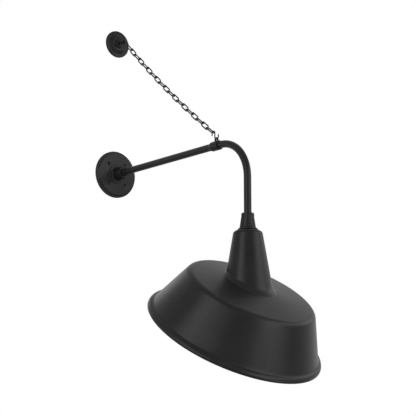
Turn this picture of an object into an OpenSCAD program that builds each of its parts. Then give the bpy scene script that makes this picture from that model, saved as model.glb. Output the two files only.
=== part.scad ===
// Barn light: a spun shade on a gooseneck arm, stayed to the wall by a chain.
// The origin is the middle of the wall flange's back face. The wall is the plane Y = 0,
// the arm runs out along -Y and +Z is up. All lengths are in millimetres.

/* [Wall flange] */
// Diameter of the round flange that is screwed to the wall
flange_d = 152.4; // [130:0.1:180]
// Height of the flange's flat rim above the wall
flange_edge = 7; // [4:0.5:9]
// Width of the flat rim
flange_rim = 5; // [3:0.5:8]
// Height of the flange's flat face above the wall
flange_t = 12; // [10:0.5:16]
// Width of the slope between rim and face
flange_slope = 3; // [1:0.5:6]
// Diameter of the circle on which the four screw holes lie
screw_circle = 88.9; // [84:0.1:100]
// Diameter of a screw hole
screw_hole_d = 6.5; // [4:0.1:8]
// Diameter of a screw hole's countersink at the face
screw_head_d = 12; // [9:0.1:14]
// Diameter of the low boss round the hub
boss_d = 61; // [52:0.5:64]
// Height of the low boss
boss_t = 3; // [1:0.5:5]
// Diameter of the hub where it leaves the boss
hub_d = 41; // [34:0.5:44]
// Diameter of the thick end of the hub
hub_end_d = 39.5; // [32:0.5:40]
// Distance of the hub's end from the wall
hub_reach = 55; // [40:1:60]
// Outside diameter of the lock ring on the arm
lock_ring_d = 28; // [26:0.5:32]
// Length of the lock ring
lock_ring_len = 9; // [6:0.5:12]

/* [Arm and gooseneck] */
// Outside diameter of the pipe
pipe_d = 21.3; // [20:0.1:23]
// Wall of the pipe
pipe_wall = 2.75; // [2:0.05:3.2]
// Distance of the gooseneck's vertical stem from the wall
arm_reach = 645; // [610:1:700]
// Radius of the gooseneck's bend at the middle of the pipe
bend_r = 114.5; // [80:0.5:117]
// Drop from the arm's middle line to the top of the holder
stem_drop = 217.5; // [200:0.5:260]

/* [Collar] */
// Distance of the collar's outer end from the wall
collar_reach = 526; // [510:1:530]
// Length of the collar
collar_len = 38; // [34:0.5:46]
// Diameter of the collar
collar_d = 28; // [26:0.5:32]
// Length of the collar's tapered end
collar_taper = 7; // [3:0.5:9]
// Distance of the lug's middle from the collar's outer end
lug_inset = 14; // [12:0.5:20]
// Thickness of the lug
lug_t = 5; // [3:0.5:6]
// Width of the lug
lug_w = 13; // [11:0.5:16]
// Diameter of the lug's hole
lug_hole_d = 6.6; // [6:0.1:7.4]
// Height of the hole's middle above the collar's surface
lug_hole_up = 5; // [4.2:0.1:8]

/* [Chain and hook] */
// Number of links in the chain
link_count = 20; // [16:2:24]
// Diameter of a link's wire
link_wire = 4; // [3:0.1:4.5]
// Length inside a link
link_inner_len = 30.7; // [28:0.1:33]
// Width inside a link
link_inner_w = 8.6; // [7.6:0.1:10]
// Play between two links, and between a link and what it hangs on
link_play = 0.3; // [0.2:0.05:0.5]
// How far the middle of the chain hangs below the line between its ends
chain_sag = 10; // [0:0.5:20]
// Diameter of the S-hook's wire
hook_wire = 3.5; // [3:0.1:4]
// Radius of the S-hook's upper bend at the middle of its wire
hook_upper_r = 6.2; // [5.6:0.1:8]
// Radius of the S-hook's lower bend at the middle of its wire
hook_lower_r = 8; // [7:0.1:10]
// Straight length of the S-hook between its bends
hook_shank = 12.5; // [8:0.5:20]
// Straight length of the S-hook's upper tip
hook_tip = 6; // [3:0.5:8]

/* [Anchor plate] */
// Diameter of the anchor plate
anchor_d = 90; // [80:0.5:100]
// Thickness of the anchor plate at its rim
anchor_t = 6; // [4:0.5:8]
// Diameter of the plate's raised step
anchor_step_d = 62; // [56:0.5:68]
// Diameter of the boss in the plate's middle
anchor_boss_d = 28; // [24:0.5:34]
// Height of that boss above the wall
anchor_boss_h = 19; // [16:0.5:22]
// Distance from the wall to the far side of the eye, at the middle of its wire
eye_reach = 41.5; // [40:0.5:50]
// Radius of the eye at the middle of its wire
eye_r = 8.5; // [8:0.1:9]
// Diameter of the eye's wire
eye_wire = 6; // [5:0.1:6.6]
// Diameter of the bolt where it passes through the plate
bolt_d = 8.6; // [8.3:0.1:10.6]
// Diameter of the bolt's shank in the wall
lag_d = 8; // [6:0.1:8.2]
// Length of the bolt's plain shank behind the plate
lag_plain = 18; // [12:1:30]
// Length of the bolt's screw thread
lag_thread = 32; // [20:1:50]

/* [Holder] */
// Diameter of the holder at its top
holder_top_d = 35.2; // [32:0.2:38]
// Diameter of the holder at its foot
holder_foot_d = 48; // [42:0.2:50]
// Height of the holder
holder_h = 44.3; // [40:0.1:50]
// How far the gooseneck reaches into the holder
stem_in = 20; // [15:0.5:24]
// Number of flutes round the holder
flute_count = 6; // [4:1:8]
// Width of a flute
flute_w = 13; // [8:0.5:14]
// Depth of a flute
flute_depth = 1.2; // [0.6:0.1:2]
// Diameter of the flat ring under the holder
ring_d = 57; // [54:0.5:62]
// Thickness of the flat ring
ring_t = 4.9; // [3:0.1:6]

/* [Neck] */
// Diameter of the neck at its top, past the rounded corner
neck_d = 83.4; // [80:0.2:90]
// Radius of the neck's rounded top corner
neck_corner = 11; // [6:0.5:14]
// Lean of the neck's side from the vertical, in degrees
neck_lean = 9.6; // [7:0.1:12]
// Distance from the neck's top down to the middle of the shade's top
neck_len = 149.4; // [135:0.1:165]
// Wall of the neck
neck_wall = 1.5; // [1:0.1:2]
// Width of the neck's flared foot
foot_w = 7; // [3:0.5:9]
// Thickness of the flared foot at its edge
foot_t = 1.2; // [0.8:0.1:2]

/* [Shade] */
// Outside diameter of the shade at its rim
shade_d = 510; // [480:1:540]
// Height from the rim to the crest of the shoulder's arc
shade_h = 140.5; // [125:0.5:150]
// Tilt of the shade from level, in degrees
shade_tilt = 33.3; // [25:0.1:36]
// How far the middle of the shade's top lies beyond the stem
shade_shift = 29.3; // [20:0.1:36]
// Sheet thickness of the shade
shade_wall = 1.5; // [1:0.1:2]
// Lean of the shade's side from the shade's own axis, in degrees
side_lean = 25.4; // [20:0.1:30]
// Radius of the rounded shoulder
shoulder_r = 20; // [12:0.5:26]
// Slope of the shade's top up to its middle, in degrees
top_rise = 6.5; // [3:0.1:9]
// Radius of the lip's outward bulge
lip_r = 13; // [10:0.5:16]
// Turn of the lip's bulge, in degrees
lip_turn = 72; // [60:1:80]
// Radius of the hollow between lip and side
lip_hollow_r = 9; // [5:0.5:12]
// Diameter of the rolled rim
bead_d = 5; // [4:0.1:7]

/* [Socket and bulb] */
// Outside diameter of the hollow stem through holder and neck
nipple_d = 10.3; // [9:0.1:12]
// Wall of the hollow stem
nipple_wall = 1.6; // [1:0.1:1.8]
// Diameter of the socket cap
socket_cap_d = 43; // [40:0.5:48]
// Depth of the wiring room in the socket cap
socket_room = 12; // [10:0.5:16]
// Length of the porcelain socket
socket_len = 48; // [44:0.5:56]
// Diameter of the bulb's screw cap
bulb_cap_d = 26.2; // [25.4:0.1:26.6]
// Length of the bulb's screw cap
bulb_cap_len = 26; // [24:0.5:28]
// Largest diameter of the bulb
bulb_d = 73; // [60:0.5:76]
// Length of the bulb with its screw cap
bulb_len = 152; // [135:1:165]
// Diameter of an insulated lead
lead_d = 2.4; // [2:0.1:2.6]

/* [Fits] */
// Radial running clearance between the gooseneck and the turning holder
swivel_gap = 0.05; // [0.02:0.01:0.09]
// Radial clearance of a threaded or screwed fit in one body
thread_gap = 0.05; // [0:0.01:0.1]
// Clearance between pieces that move past each other
free_gap = 0.35; // [0.3:0.05:0.6]
// Diameter of the set screws
set_screw_d = 5; // [4:0.1:6]

/* [Hidden] */
$fn = 96;
eps = 0.01;
big = 900;

pipe_r = pipe_d / 2;
pipe_bore_r = pipe_r - pipe_wall;
collar_mid = collar_reach - collar_len / 2;
bend_start = arm_reach - bend_r;
arm_seat = 2;
arm_in_hub = flange_t + arm_seat;
pipe_stop = 1;
screw_sunk = 0.2;

holder_top = -stem_drop;
stem_end = holder_top - stem_in;
holder_room = 10;
holder_floor = stem_end - holder_room;
holder_foot = holder_top - holder_h;
neck_top = holder_foot - ring_t;
holder_lean = atan((holder_foot_d - holder_top_d) / 2 / holder_h);
flute_turn = 15;
holder_screw_turn = flute_turn + 180 / flute_count;

neck_corner_c = [neck_d / 2 - neck_corner, -neck_corner];
neck_far = neck_len + neck_d;

shade_r = shade_d / 2;
bead_r = bead_d / 2;
lip_c = [shade_r - lip_r, bead_r];
hollow_c = lip_c + (lip_r + lip_hollow_r) * [cos(lip_turn), sin(lip_turn)];
side_foot = hollow_c - lip_hollow_r * [cos(side_lean), sin(side_lean)];
side_reach = side_foot * [cos(side_lean), sin(side_lean)];
shoulder_c = [(side_reach - shoulder_r - (shade_h - shoulder_r) * sin(side_lean)) / cos(side_lean),
              shade_h - shoulder_r];
shoulder_end = shoulder_c + shoulder_r * [cos(90 - top_rise), sin(90 - top_rise)];
top_mid = shoulder_end[1] + shoulder_end[0] * tan(top_rise);
shade_top_mid = [0, -arm_reach - shade_shift, neck_top - neck_len];

lug_at = collar_reach - lug_inset;
lug_hole_z = collar_d / 2 + lug_hole_up;
collar_screw_shift = 1;
collar_screw_places = [collar_mid - collar_len / 4 + collar_screw_shift, collar_mid + collar_len / 4];
hook_rest = 0.7;
hook_bottom_z = lug_hole_z + hook_rest;
hook_lower_c = [-lug_at, hook_bottom_z + hook_lower_r];
hook_shank_y = hook_lower_c[0] + hook_lower_r;
hook_upper_c = [hook_shank_y + hook_upper_r, hook_lower_c[1] + hook_shank];
hook_lower_turn = 200;
hook_end_len = 1.5;

link_pitch = link_inner_len - link_play;
link_bend_r = (link_inner_w + link_wire) / 2;
link_straight = link_inner_len - link_inner_w;
chain_arc = link_count * link_pitch;
chain_chord = chain_arc - 8 / 3 * chain_sag * chain_sag / chain_arc;
eye_inset = (eye_wire + link_play) / 2;
hook_inset = (hook_wire + link_play) / 2;
stay_len = chain_chord - eye_inset - hook_inset + hook_upper_r;
stay_run = -eye_reach - hook_upper_c[0];
anchor_z = hook_upper_c[1] + sqrt(stay_len * stay_len - stay_run * stay_run);
stay_dir = [-stay_run, hook_upper_c[1] - anchor_z] / stay_len;
stay_down = [-stay_dir[1], stay_dir[0]];
chain_start = [-eye_reach, anchor_z] - eye_inset * stay_dir;

nipple_r = nipple_d / 2;
nipple_bore_r = nipple_r - nipple_wall;
nut_h = 4;
nut_top = neck_top - neck_wall;
cap_boss_top = nut_top - nut_h;
cap_boss_h = 6;
cap_plate = 1.5;
cap_skin = 1;
cap_grip = 8;
cap_under = cap_boss_top - cap_boss_h - cap_plate;
socket_top = cap_under - socket_room;
socket_r = socket_cap_d / 2 - cap_skin - thread_gap;
socket_foot = socket_top - socket_len;
shell_t = 0.5;
shell_r = bulb_cap_d / 2 + free_gap + shell_t;
well_r = shell_r + thread_gap;
contact_room = 6;
well_depth = bulb_cap_len + contact_room;
well_top = socket_foot + well_depth;
contact_h = 4.5;
bulb_tip = well_top - contact_h - free_gap;
foot_h = 2;
foot_in = 2;
glass_bead_h = 3;
thread_ridge = 0.6;
thread_pitch = 3.63;
thread_turns = 4;
bulb_cap_foot = bulb_tip - bulb_cap_len;
bulb_r = bulb_d / 2;
cap_lap = 0.4;
bulb_neck_r = bulb_cap_d / 2 - cap_lap;
bulb_mid = bulb_tip - bulb_len + bulb_r;
bulb_turn = 38;
slope_share = 0.8;
glass_t = 1.2;
bulb_cap_wall = 1.6;
cap_bore_r = bulb_cap_d / 2 - bulb_cap_wall;
lead_r = lead_d / 2;
lead_ease = 0.2;
lead_spread = nipple_bore_r - lead_r - lead_ease;
lead_stub = 1;
pipe_lead_r = pipe_bore_r - lead_r - free_gap;
pipe_lead_turn = 25;
contact_pin_r = 1.5;
terminal_at = 12;
terminal_r = 1.8;
terminal_in = 5;
terminal_head_r = 3;
terminal_head_h = 2;
lead_colours = ["#1c1c1c", "#e8e6df", "#3d7a45"];

black = "#2f3031";
brass = "#b58d3d";
steel = "#a8a9a6";

function unit(v) = v / norm(v);
function terminal_turn(i) = 90 + 120 * i;
function two_digits(n) = n < 10 ? str("0", n) : str(n);
function link_name(n) = str("chain_link_", two_digits(n));
function arc_points(c, r, from, to, n) =
    [for (i = [0:n]) c + r * [cos(from + (to - from) * i / n), sin(from + (to - from) * i / n)]];

// Turns a shape that stands on the floor so that it stands on the wall, pointing along -Y
module on_wall(y = 0, z = 0) {
    translate([0, -y, z]) rotate([90, 0, 0]) children();
}

// Moves a shape to the stem's vertical axis
module on_stem(z = 0) {
    translate([0, -arm_reach, z]) children();
}

// Moves a shape from the shade's own frame, with its rim at height 0, to its tilted place
module in_shade() {
    translate(shade_top_mid) rotate([shade_tilt, 0, 0]) translate([0, 0, -top_mid]) children();
}

// A round wire with domed ends along a path of [y, z] points in the plane X = 0
module swept_wire(path, r, sides = 16) {
    last = len(path) - 1;
    way = [for (i = [0:last]) unit(path[min(i + 1, last)] - path[max(i - 1, 0)])];
    dome = [20, 50, 72];
    stations = concat(
        [for (a = dome) [path[0] - r * cos(a) * way[0], way[0], r * sin(a)]],
        [for (i = [0:last]) [path[i], way[i], r]],
        [for (i = [2:-1:0]) [path[last] + r * cos(dome[i]) * way[last], way[last], r * sin(dome[i])]]);
    points = [for (s = stations) for (k = [0:sides - 1])
        let (across = s[2] * cos(360 * k / sides), up = s[2] * sin(360 * k / sides))
        [across, s[0][0] - up * s[1][1], s[0][1] + up * s[1][0]]];
    top = (len(stations) - 1) * sides;
    polyhedron(points, concat(
        [[for (k = [0:sides - 1]) k], [for (k = [sides - 1:-1:0]) top + k]],
        [for (row = [0:len(stations) - 2]) for (k = [0:sides - 1])
            let (a = row * sides + k, b = row * sides + (k + 1) % sides) each [
                [a, a + sides, b], [b, a + sides, b + sides]]]));
}

// Part of a ring of round wire that lies in the XY plane
module wire_arc(bend, r, from, turn) {
    rotate([0, 0, from]) rotate_extrude(angle = turn) translate([bend, 0]) circle(r = r, $fn = 32);
}

// A headless screw that points along +X, with its socket at the outer end
module set_screw(from, to) {
    socket_depth = 2.5;
    socket_d = set_screw_d / 2;
    translate([from, 0, 0]) rotate([0, 90, 0]) difference() {
        cylinder(d = set_screw_d, h = to - from);
        translate([0, 0, to - from - socket_depth]) cylinder(d = socket_d, h = big, $fn = 6);
    }
}

// The hole for a headless screw along +X
module set_screw_hole(from) {
    translate([from, 0, 0]) rotate([0, 90, 0]) cylinder(d = set_screw_d + 2 * thread_gap, h = big);
}

// Wall side

module wall_flange() {
    r = flange_d / 2;
    fillet = 6;
    boss_top = flange_t + boss_t;
    hub_bead = 6;
    hub_draft = 1;
    bevel = 1;
    edge_round = 1.5;
    color(black) on_wall() difference() {
        rotate_extrude() polygon(concat(
            [[0, 0], [r, 0]],
            arc_points([r - edge_round, flange_edge - edge_round], edge_round, 0, 90, 4),
            [[r - flange_rim, flange_edge], [r - flange_rim - flange_slope, flange_t],
             [boss_d / 2, flange_t], [boss_d / 2, boss_top - bevel], [boss_d / 2 - bevel, boss_top]],
            arc_points([hub_d / 2 + fillet, boss_top + fillet], fillet, -90, -180, 6),
            [[hub_d / 2 - hub_draft, hub_reach - hub_bead - bevel],
             [hub_end_d / 2, hub_reach - hub_bead], [hub_end_d / 2, hub_reach - bevel],
             [hub_end_d / 2 - bevel, hub_reach], [0, hub_reach]]));
        translate([0, 0, -eps]) cylinder(r = pipe_bore_r, h = big);
        translate([0, 0, arm_in_hub]) cylinder(r = pipe_r + thread_gap, h = big);
        for (turn = [45:90:315]) rotate([0, 0, turn]) translate([screw_circle / 2, 0, 0]) {
            sink = (screw_head_d - screw_hole_d) / 2;
            translate([0, 0, -eps]) cylinder(d = screw_hole_d, h = big);
            translate([0, 0, flange_t - sink])
                cylinder(r1 = screw_hole_d / 2, r2 = screw_head_d / 2, h = sink);
            translate([0, 0, flange_t - eps]) cylinder(d = screw_head_d, h = big);
        }
    }
}

module lock_ring() {
    r = lock_ring_d / 2;
    bevel = 1.2;
    color(black) on_wall(hub_reach) difference() {
        rotate_extrude() polygon([
            [pipe_r + thread_gap, 0], [r - bevel, 0], [r, bevel], [r, lock_ring_len - bevel],
            [r - bevel, lock_ring_len], [pipe_r + thread_gap, lock_ring_len]]);
        translate([0, 0, lock_ring_len / 2]) set_screw_hole(0);
    }
}

module lock_ring_screw() {
    color(black) on_wall(hub_reach + lock_ring_len / 2) set_screw(pipe_r, lock_ring_d / 2 - screw_sunk);
}

module arm_pipe() {
    len = collar_mid - pipe_stop - arm_in_hub;
    color(black) on_wall(arm_in_hub) difference() {
        cylinder(r = pipe_r, h = len);
        translate([0, 0, -eps]) cylinder(r = pipe_bore_r, h = len + 2 * eps);
    }
}

module chain_collar() {
    r = collar_d / 2;
    bevel = 1;
    mouth = 1;
    lug_root = 2.5;
    lug_foot = r - lug_root;
    color(black) difference() {
        union() {
            on_wall(collar_reach - collar_len) rotate_extrude() polygon([
                [0, 0], [pipe_r + mouth, 0], [r, collar_taper], [r, collar_len - bevel],
                [r - bevel, collar_len], [0, collar_len]]);
            translate([0, lug_t / 2 - lug_at, 0]) rotate([90, 0, 0]) {
                translate([-lug_w / 2, lug_foot, 0]) cube([lug_w, lug_hole_z - lug_foot, lug_t]);
                translate([0, lug_hole_z, 0]) cylinder(d = lug_w, h = lug_t);
            }
        }
        on_wall(0) cylinder(r = pipe_r + thread_gap, h = big);
        on_wall(lug_at - lug_t, lug_hole_z) cylinder(d = lug_hole_d, h = 2 * lug_t);
        for (y = collar_screw_places) translate([0, -y, 0]) set_screw_hole(0);
    }
}

module collar_screws() {
    color(black) for (y = collar_screw_places)
        translate([0, -y, 0]) set_screw(pipe_r, collar_d / 2 - screw_sunk);
}

// A bar of the section drawn by its children that follows the gooseneck: along the arm from
// one distance from the wall, round the bend, and down to the height of the end
module along_gooseneck(from, end) {
    translate([0, -from, 0]) rotate([90, 0, 0]) linear_extrude(bend_start - from) children();
    translate([0, -bend_start, -bend_r]) rotate([90, 0, 90]) rotate([0, 0, 90])
        rotate_extrude(angle = 90) translate([bend_r, 0]) mirror([1, -1]) children();
    translate([0, -arm_reach, end]) linear_extrude(-bend_r - end) mirror([0, 1]) children();
}

module gooseneck_pipe() {
    color(black) along_gooseneck(collar_mid + pipe_stop, stem_end) difference() {
        circle(r = pipe_r);
        circle(r = pipe_bore_r);
    }
}

// A supply lead that lies against the lower and inner side of the pipes
module supply_lead(i) {
    turn = (i - 1) * pipe_lead_turn;
    color(lead_colours[i]) along_gooseneck(lead_stub, stem_end + lead_stub)
        translate(pipe_lead_r * [sin(turn), -cos(turn)]) circle(r = lead_r, $fn = 24);
}

module anchor_plate() {
    r = anchor_d / 2;
    rim = 2.5;
    step_r = anchor_step_d / 2;
    boss_r = anchor_boss_d / 2;
    step_bevel = 2;
    dome_h = 6;
    dome_in = 1;
    dome_top = anchor_t + dome_h;
    fillet = 3;
    boss_round = 2;
    color(black) on_wall(0, anchor_z) difference() {
        rotate_extrude() polygon(concat(
            [[0, 0], [r, 0]],
            arc_points([r - rim, anchor_t - rim], rim, 0, 90, 6),
            [[step_r + step_bevel, anchor_t], [step_r, anchor_t + step_bevel]],
            arc_points([step_r - dome_in - dome_h, anchor_t], dome_h, 40, 90, 5),
            [[boss_r + fillet, dome_top]],
            arc_points([boss_r + fillet, dome_top + fillet], fillet, -90, -180, 4),
            arc_points([boss_r - boss_round, anchor_boss_h - boss_round], boss_round, 0, 90, 4),
            [[0, anchor_boss_h]]));
        translate([0, 0, -eps]) cylinder(d = bolt_d + 2 * thread_gap, h = big);
    }
}

// An eye of thick wire on a bolt whose threaded end goes into the wall
module anchor_eye() {
    bolt_r = bolt_d / 2;
    lag_r = lag_d / 2;
    shoulder_w = 2.7;
    shoulder_h = 2.5;
    tip = 7;
    least_pitch = 3;
    ridges = floor(lag_thread / least_pitch);
    ridge = lag_thread / ridges;
    ridge_h = 0.8;
    root_r = lag_r - ridge_h;
    color(black) {
        translate([0, -eye_reach + eye_r, anchor_z]) wire_arc(eye_r, eye_wire / 2, 0, 360);
        on_wall(anchor_boss_h, anchor_z) cylinder(r = bolt_r + shoulder_w, h = shoulder_h);
        on_wall(0, anchor_z) cylinder(r = bolt_r, h = eye_reach - 2 * eye_r);
        on_wall(-lag_plain, anchor_z) cylinder(r = lag_r, h = lag_plain);
        translate([0, lag_plain, anchor_z]) rotate([-90, 0, 0]) rotate_extrude() polygon(concat(
            [[0, 0]],
            [for (i = [0:ridges - 1]) each [
                [root_r, i * ridge], [lag_r, (i + 0.5) * ridge], [root_r, (i + 1) * ridge]]],
            [[0, lag_thread + tip]]));
    }
}

// Chain and hook

// A point where link n ends and link n + 1 begins, as [y, z]
function chain_point(n) =
    let (s = n / link_count)
    chain_start + chain_chord * s * stay_dir + 4 * chain_sag * s * (1 - s) * stay_down;

module link(n) {
    a = chain_point(n - 1);
    b = chain_point(n);
    mid = (a + b) / 2;
    d = (a - b) / norm(a - b);
    half = link_straight / 2;
    wire_r = link_wire / 2;
    color(black) translate([0, mid[0], mid[1]]) rotate([atan2(-d[0], d[1]), 0, 0])
        rotate([0, 0, n % 2 == 1 ? 90 : 0]) rotate([90, 0, 0]) {
            translate([0, half, 0]) wire_arc(link_bend_r, wire_r, 0, 180);
            translate([0, -half, 0]) wire_arc(link_bend_r, wire_r, 180, 180);
            for (side = [-1, 1]) translate([side * link_bend_r, -half, 0]) rotate([-90, 0, 0])
                cylinder(r = wire_r, h = link_straight, $fn = 32);
        }
}

module s_hook() {
    tip_y = hook_upper_c[0] + hook_upper_r;
    lower_end = hook_lower_c + hook_lower_r * [cos(hook_lower_turn), -sin(hook_lower_turn)];
    lower_way = [sin(hook_lower_turn), cos(hook_lower_turn)] * -1;
    color(black) swept_wire(concat(
        [[tip_y, hook_upper_c[1] - hook_tip]],
        arc_points(hook_upper_c, hook_upper_r, 0, 180, 14),
        arc_points(hook_lower_c, hook_lower_r, 0, -hook_lower_turn, 18),
        [lower_end + hook_end_len * lower_way]), hook_wire / 2);
}

// Holder and shade

module shade_holder() {
    top_r = holder_top_d / 2;
    foot_r = holder_foot_d / 2;
    bevel = 0.8;
    skirt = 4;
    skirt_out = 1;
    skirt_bevel = 1.2;
    above_flute = 6;
    flute_top = holder_h - above_flute;
    color(black) on_stem(holder_foot) difference() {
        rotate_extrude() polygon([
            [0, 0], [foot_r + skirt_out, 0], [foot_r + skirt_out, skirt_bevel], [foot_r, 2 * skirt_bevel],
            [top_r, holder_h - bevel], [top_r - bevel, holder_h], [0, holder_h]]);
        translate([0, 0, stem_end - holder_foot]) cylinder(r = pipe_r + swivel_gap, h = big);
        translate([0, 0, holder_floor - holder_foot]) cylinder(r = pipe_bore_r, h = big);
        translate([0, 0, -eps]) cylinder(r = nipple_r + thread_gap, h = big);
        for (i = [0:flute_count - 1]) rotate([0, 0, flute_turn + 360 * i / flute_count])
            translate([foot_r, 0, 0]) rotate([0, -holder_lean, 0]) translate([-flute_depth, 0, 0])
                rotate([0, 90, 0]) {
                    translate([-flute_top + flute_w / 2, 0, 0]) cylinder(d = flute_w, h = big);
                    translate([-flute_top + flute_w / 2, -flute_w / 2, 0])
                        cube([flute_top - flute_w / 2 - skirt, flute_w, big]);
                }
        translate([0, 0, holder_h - stem_in / 2]) rotate([0, 0, holder_screw_turn]) set_screw_hole(0);
    }
}

module holder_screw() {
    mid_h = holder_h - stem_in / 2;
    r_here = holder_foot_d / 2 - mid_h * tan(holder_lean);
    color(black) on_stem(holder_foot + mid_h) rotate([0, 0, holder_screw_turn])
        set_screw(pipe_r + free_gap, r_here - screw_sunk);
}

module holder_ring() {
    r = ring_d / 2;
    bevel = 1;
    color(black) on_stem(neck_top) rotate_extrude() polygon([
        [nipple_r + thread_gap, 0], [r - bevel, 0], [r, bevel], [r, ring_t - bevel],
        [r - bevel, ring_t], [nipple_r + thread_gap, ring_t]]);
}

// Where the neck's rounded corner meets its side, measured from its top, drawn in by a distance
function neck_side(inset) = neck_corner_c + (neck_corner - inset) * [cos(neck_lean), sin(neck_lean)];

// The neck's outline, measured down from its top, drawn in by a distance
module neck_outline(inset = 0, grow = 0) {
    side = neck_side(inset);
    polygon(concat(
        [[0, -neck_far], [0, -inset]],
        [for (p = arc_points(neck_corner_c, neck_corner - inset, 90, neck_lean, 8)) p + [grow, 0]],
        [[side[0] + grow + (neck_far + side[1]) * tan(neck_lean), -neck_far]]));
}

// The cone of the neck's side alone, drawn in by a distance
module neck_cone(inset) {
    side = neck_side(inset);
    h = neck_far + side[1];
    translate([0, 0, -neck_far]) cylinder(r1 = side[0] + h * tan(neck_lean), r2 = side[0], h = h);
}

module neck() {
    foot_steps = [[foot_w, foot_t], [foot_w * 0.6, foot_t * 1.8], [foot_w * 0.3, foot_t * 3.2]];
    color(black) difference() {
        union() {
            on_stem(neck_top) rotate_extrude() neck_outline();
            for (step = foot_steps) intersection() {
                on_stem(neck_top) rotate_extrude() neck_outline(grow = step[0]);
                in_shade() rotate_extrude() under_top(step[1]);
            }
        }
        in_shade() rotate_extrude() under_top();
        on_stem(neck_top) rotate_extrude() neck_outline(inset = neck_wall);
        on_stem(neck_top - neck_wall - eps) cylinder(r = nipple_r + thread_gap, h = big);
    }
}

// The curve of the shade's sheet from the rim to its middle, as [radius, height]
function sheet_curve(inset) = concat(
    arc_points(lip_c, lip_r - inset, 0, lip_turn, 8),
    arc_points(hollow_c, lip_hollow_r + inset, lip_turn + 180, side_lean + 180, 5),
    arc_points(shoulder_c, shoulder_r - inset, side_lean, 90 - top_rise, 10),
    [[0, top_mid - inset / cos(top_rise)]]);

// What lies under the slope of the shade's top, inside the shoulder, raised by a distance
module under_top(lift = 0) {
    r = shoulder_c[0];
    polygon([[0, bead_r], [r, bead_r], [r, top_mid + lift - r * tan(top_rise)], [0, top_mid + lift]]);
}

module shade() {
    outer = sheet_curve(0);
    inner = sheet_curve(shade_wall);
    color(black) difference() {
        in_shade() rotate_extrude() {
            polygon(concat(outer, [for (i = [len(inner) - 1:-1:0]) inner[i]]));
            translate([shade_r - bead_r, bead_r]) circle(r = bead_r, $fn = 32);
        }
        on_stem(neck_top) neck_cone(neck_wall);
    }
}

// Socket and bulb

module stem_nipple() {
    under = cap_under + cap_plate;
    color(steel) on_stem(under) difference() {
        cylinder(r = nipple_r, h = holder_floor - under);
        translate([0, 0, -eps]) cylinder(r = nipple_bore_r, h = big);
    }
}

module nipple_nut() {
    nut_wall = 3.1;
    color(steel) on_stem(cap_boss_top) difference() {
        cylinder(r = (nipple_r + nut_wall) / cos(30), h = nut_h, $fn = 6);
        translate([0, 0, -eps]) cylinder(r = nipple_r + thread_gap, h = big);
    }
}

// A deep metal cap that screws on the stem and grips the porcelain
module socket_cap() {
    r = socket_cap_d / 2;
    boss_wall = 3;
    height = cap_plate + socket_room + cap_grip;
    color(steel) on_stem(cap_under + cap_plate - height) difference() {
        union() {
            cylinder(r = r, h = height);
            translate([0, 0, height]) cylinder(r = nipple_r + boss_wall, h = cap_boss_h);
        }
        translate([0, 0, -eps]) cylinder(r = r - cap_skin, h = height - cap_plate + eps);
        translate([0, 0, -eps]) cylinder(r = nipple_r + thread_gap, h = big);
    }
}

module socket_body() {
    mouth = 1.5;
    color("#e9e6dc") on_stem(socket_foot) difference() {
        union() {
            cylinder(r = socket_r, h = socket_len);
            translate([0, 0, mouth]) cylinder(r = socket_cap_d / 2, h = socket_len - cap_grip - mouth);
            cylinder(r1 = socket_cap_d / 2 - mouth, r2 = socket_cap_d / 2, h = mouth);
        }
        translate([0, 0, -eps]) cylinder(r = well_r, h = well_depth + eps);
        cylinder(r = contact_pin_r + thread_gap, h = big);
        for (i = [0:2]) rotate([0, 0, terminal_turn(i)]) translate([terminal_at, 0, 0])
            translate([0, 0, socket_len - terminal_in]) cylinder(r = terminal_r + thread_gap, h = big);
    }
}

module screw_shell() {
    end = 1;
    brim = 3;
    len = bulb_cap_len - 2 * end;
    color(brass) on_stem(socket_foot + end) rotate_extrude() polygon([
        [shell_r, 0], [shell_r, len], [shell_r - brim, len], [shell_r - brim, len - shell_t],
        [shell_r - shell_t, len - shell_t], [shell_r - shell_t, 0]]);
}

module centre_contact() {
    leaf_r = 5;
    leaf_t = 1;
    button_r = 3;
    rivet_out = 1;
    color(brass) on_stem(well_top) {
        translate([0, 0, -leaf_t]) cylinder(r = leaf_r, h = leaf_t);
        translate([0, 0, -contact_h]) cylinder(r1 = button_r, r2 = button_r + leaf_t, h = contact_h - leaf_t);
        cylinder(r = contact_pin_r, h = socket_top - well_top + rivet_out);
    }
}

module terminal_screws() {
    slot_w = 0.8;
    color(brass) for (i = [0:2]) on_stem(socket_top) rotate([0, 0, terminal_turn(i)])
        translate([terminal_at, 0, 0]) {
            translate([0, 0, -terminal_in]) cylinder(r = terminal_r, h = terminal_in + eps);
            difference() {
                cylinder(r = terminal_head_r, h = terminal_head_h);
                translate([-big / 2, -slot_w / 2, terminal_head_h - slot_w]) cube([big, slot_w, big]);
            }
        }
}

// A lead from the holder's room through the hollow stem, round an elbow and out to its terminal
module socket_lead(i) {
    elbow_r = 3;
    elbow = 60;
    run = (terminal_at - lead_spread - elbow_r * (1 - cos(elbow))) / sin(elbow);
    end_z = socket_top + terminal_head_h + lead_r;
    elbow_z = end_z + elbow_r * sin(elbow) + run * cos(elbow);
    color(lead_colours[i]) on_stem() rotate([0, 0, terminal_turn(i) - 90]) swept_wire(concat(
        [[lead_spread, stem_end - lead_stub - lead_r]],
        arc_points([lead_spread + elbow_r, elbow_z], elbow_r, 180, 180 + elbow, 5),
        [[terminal_at, end_z]]), lead_r, 12);
}

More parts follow.
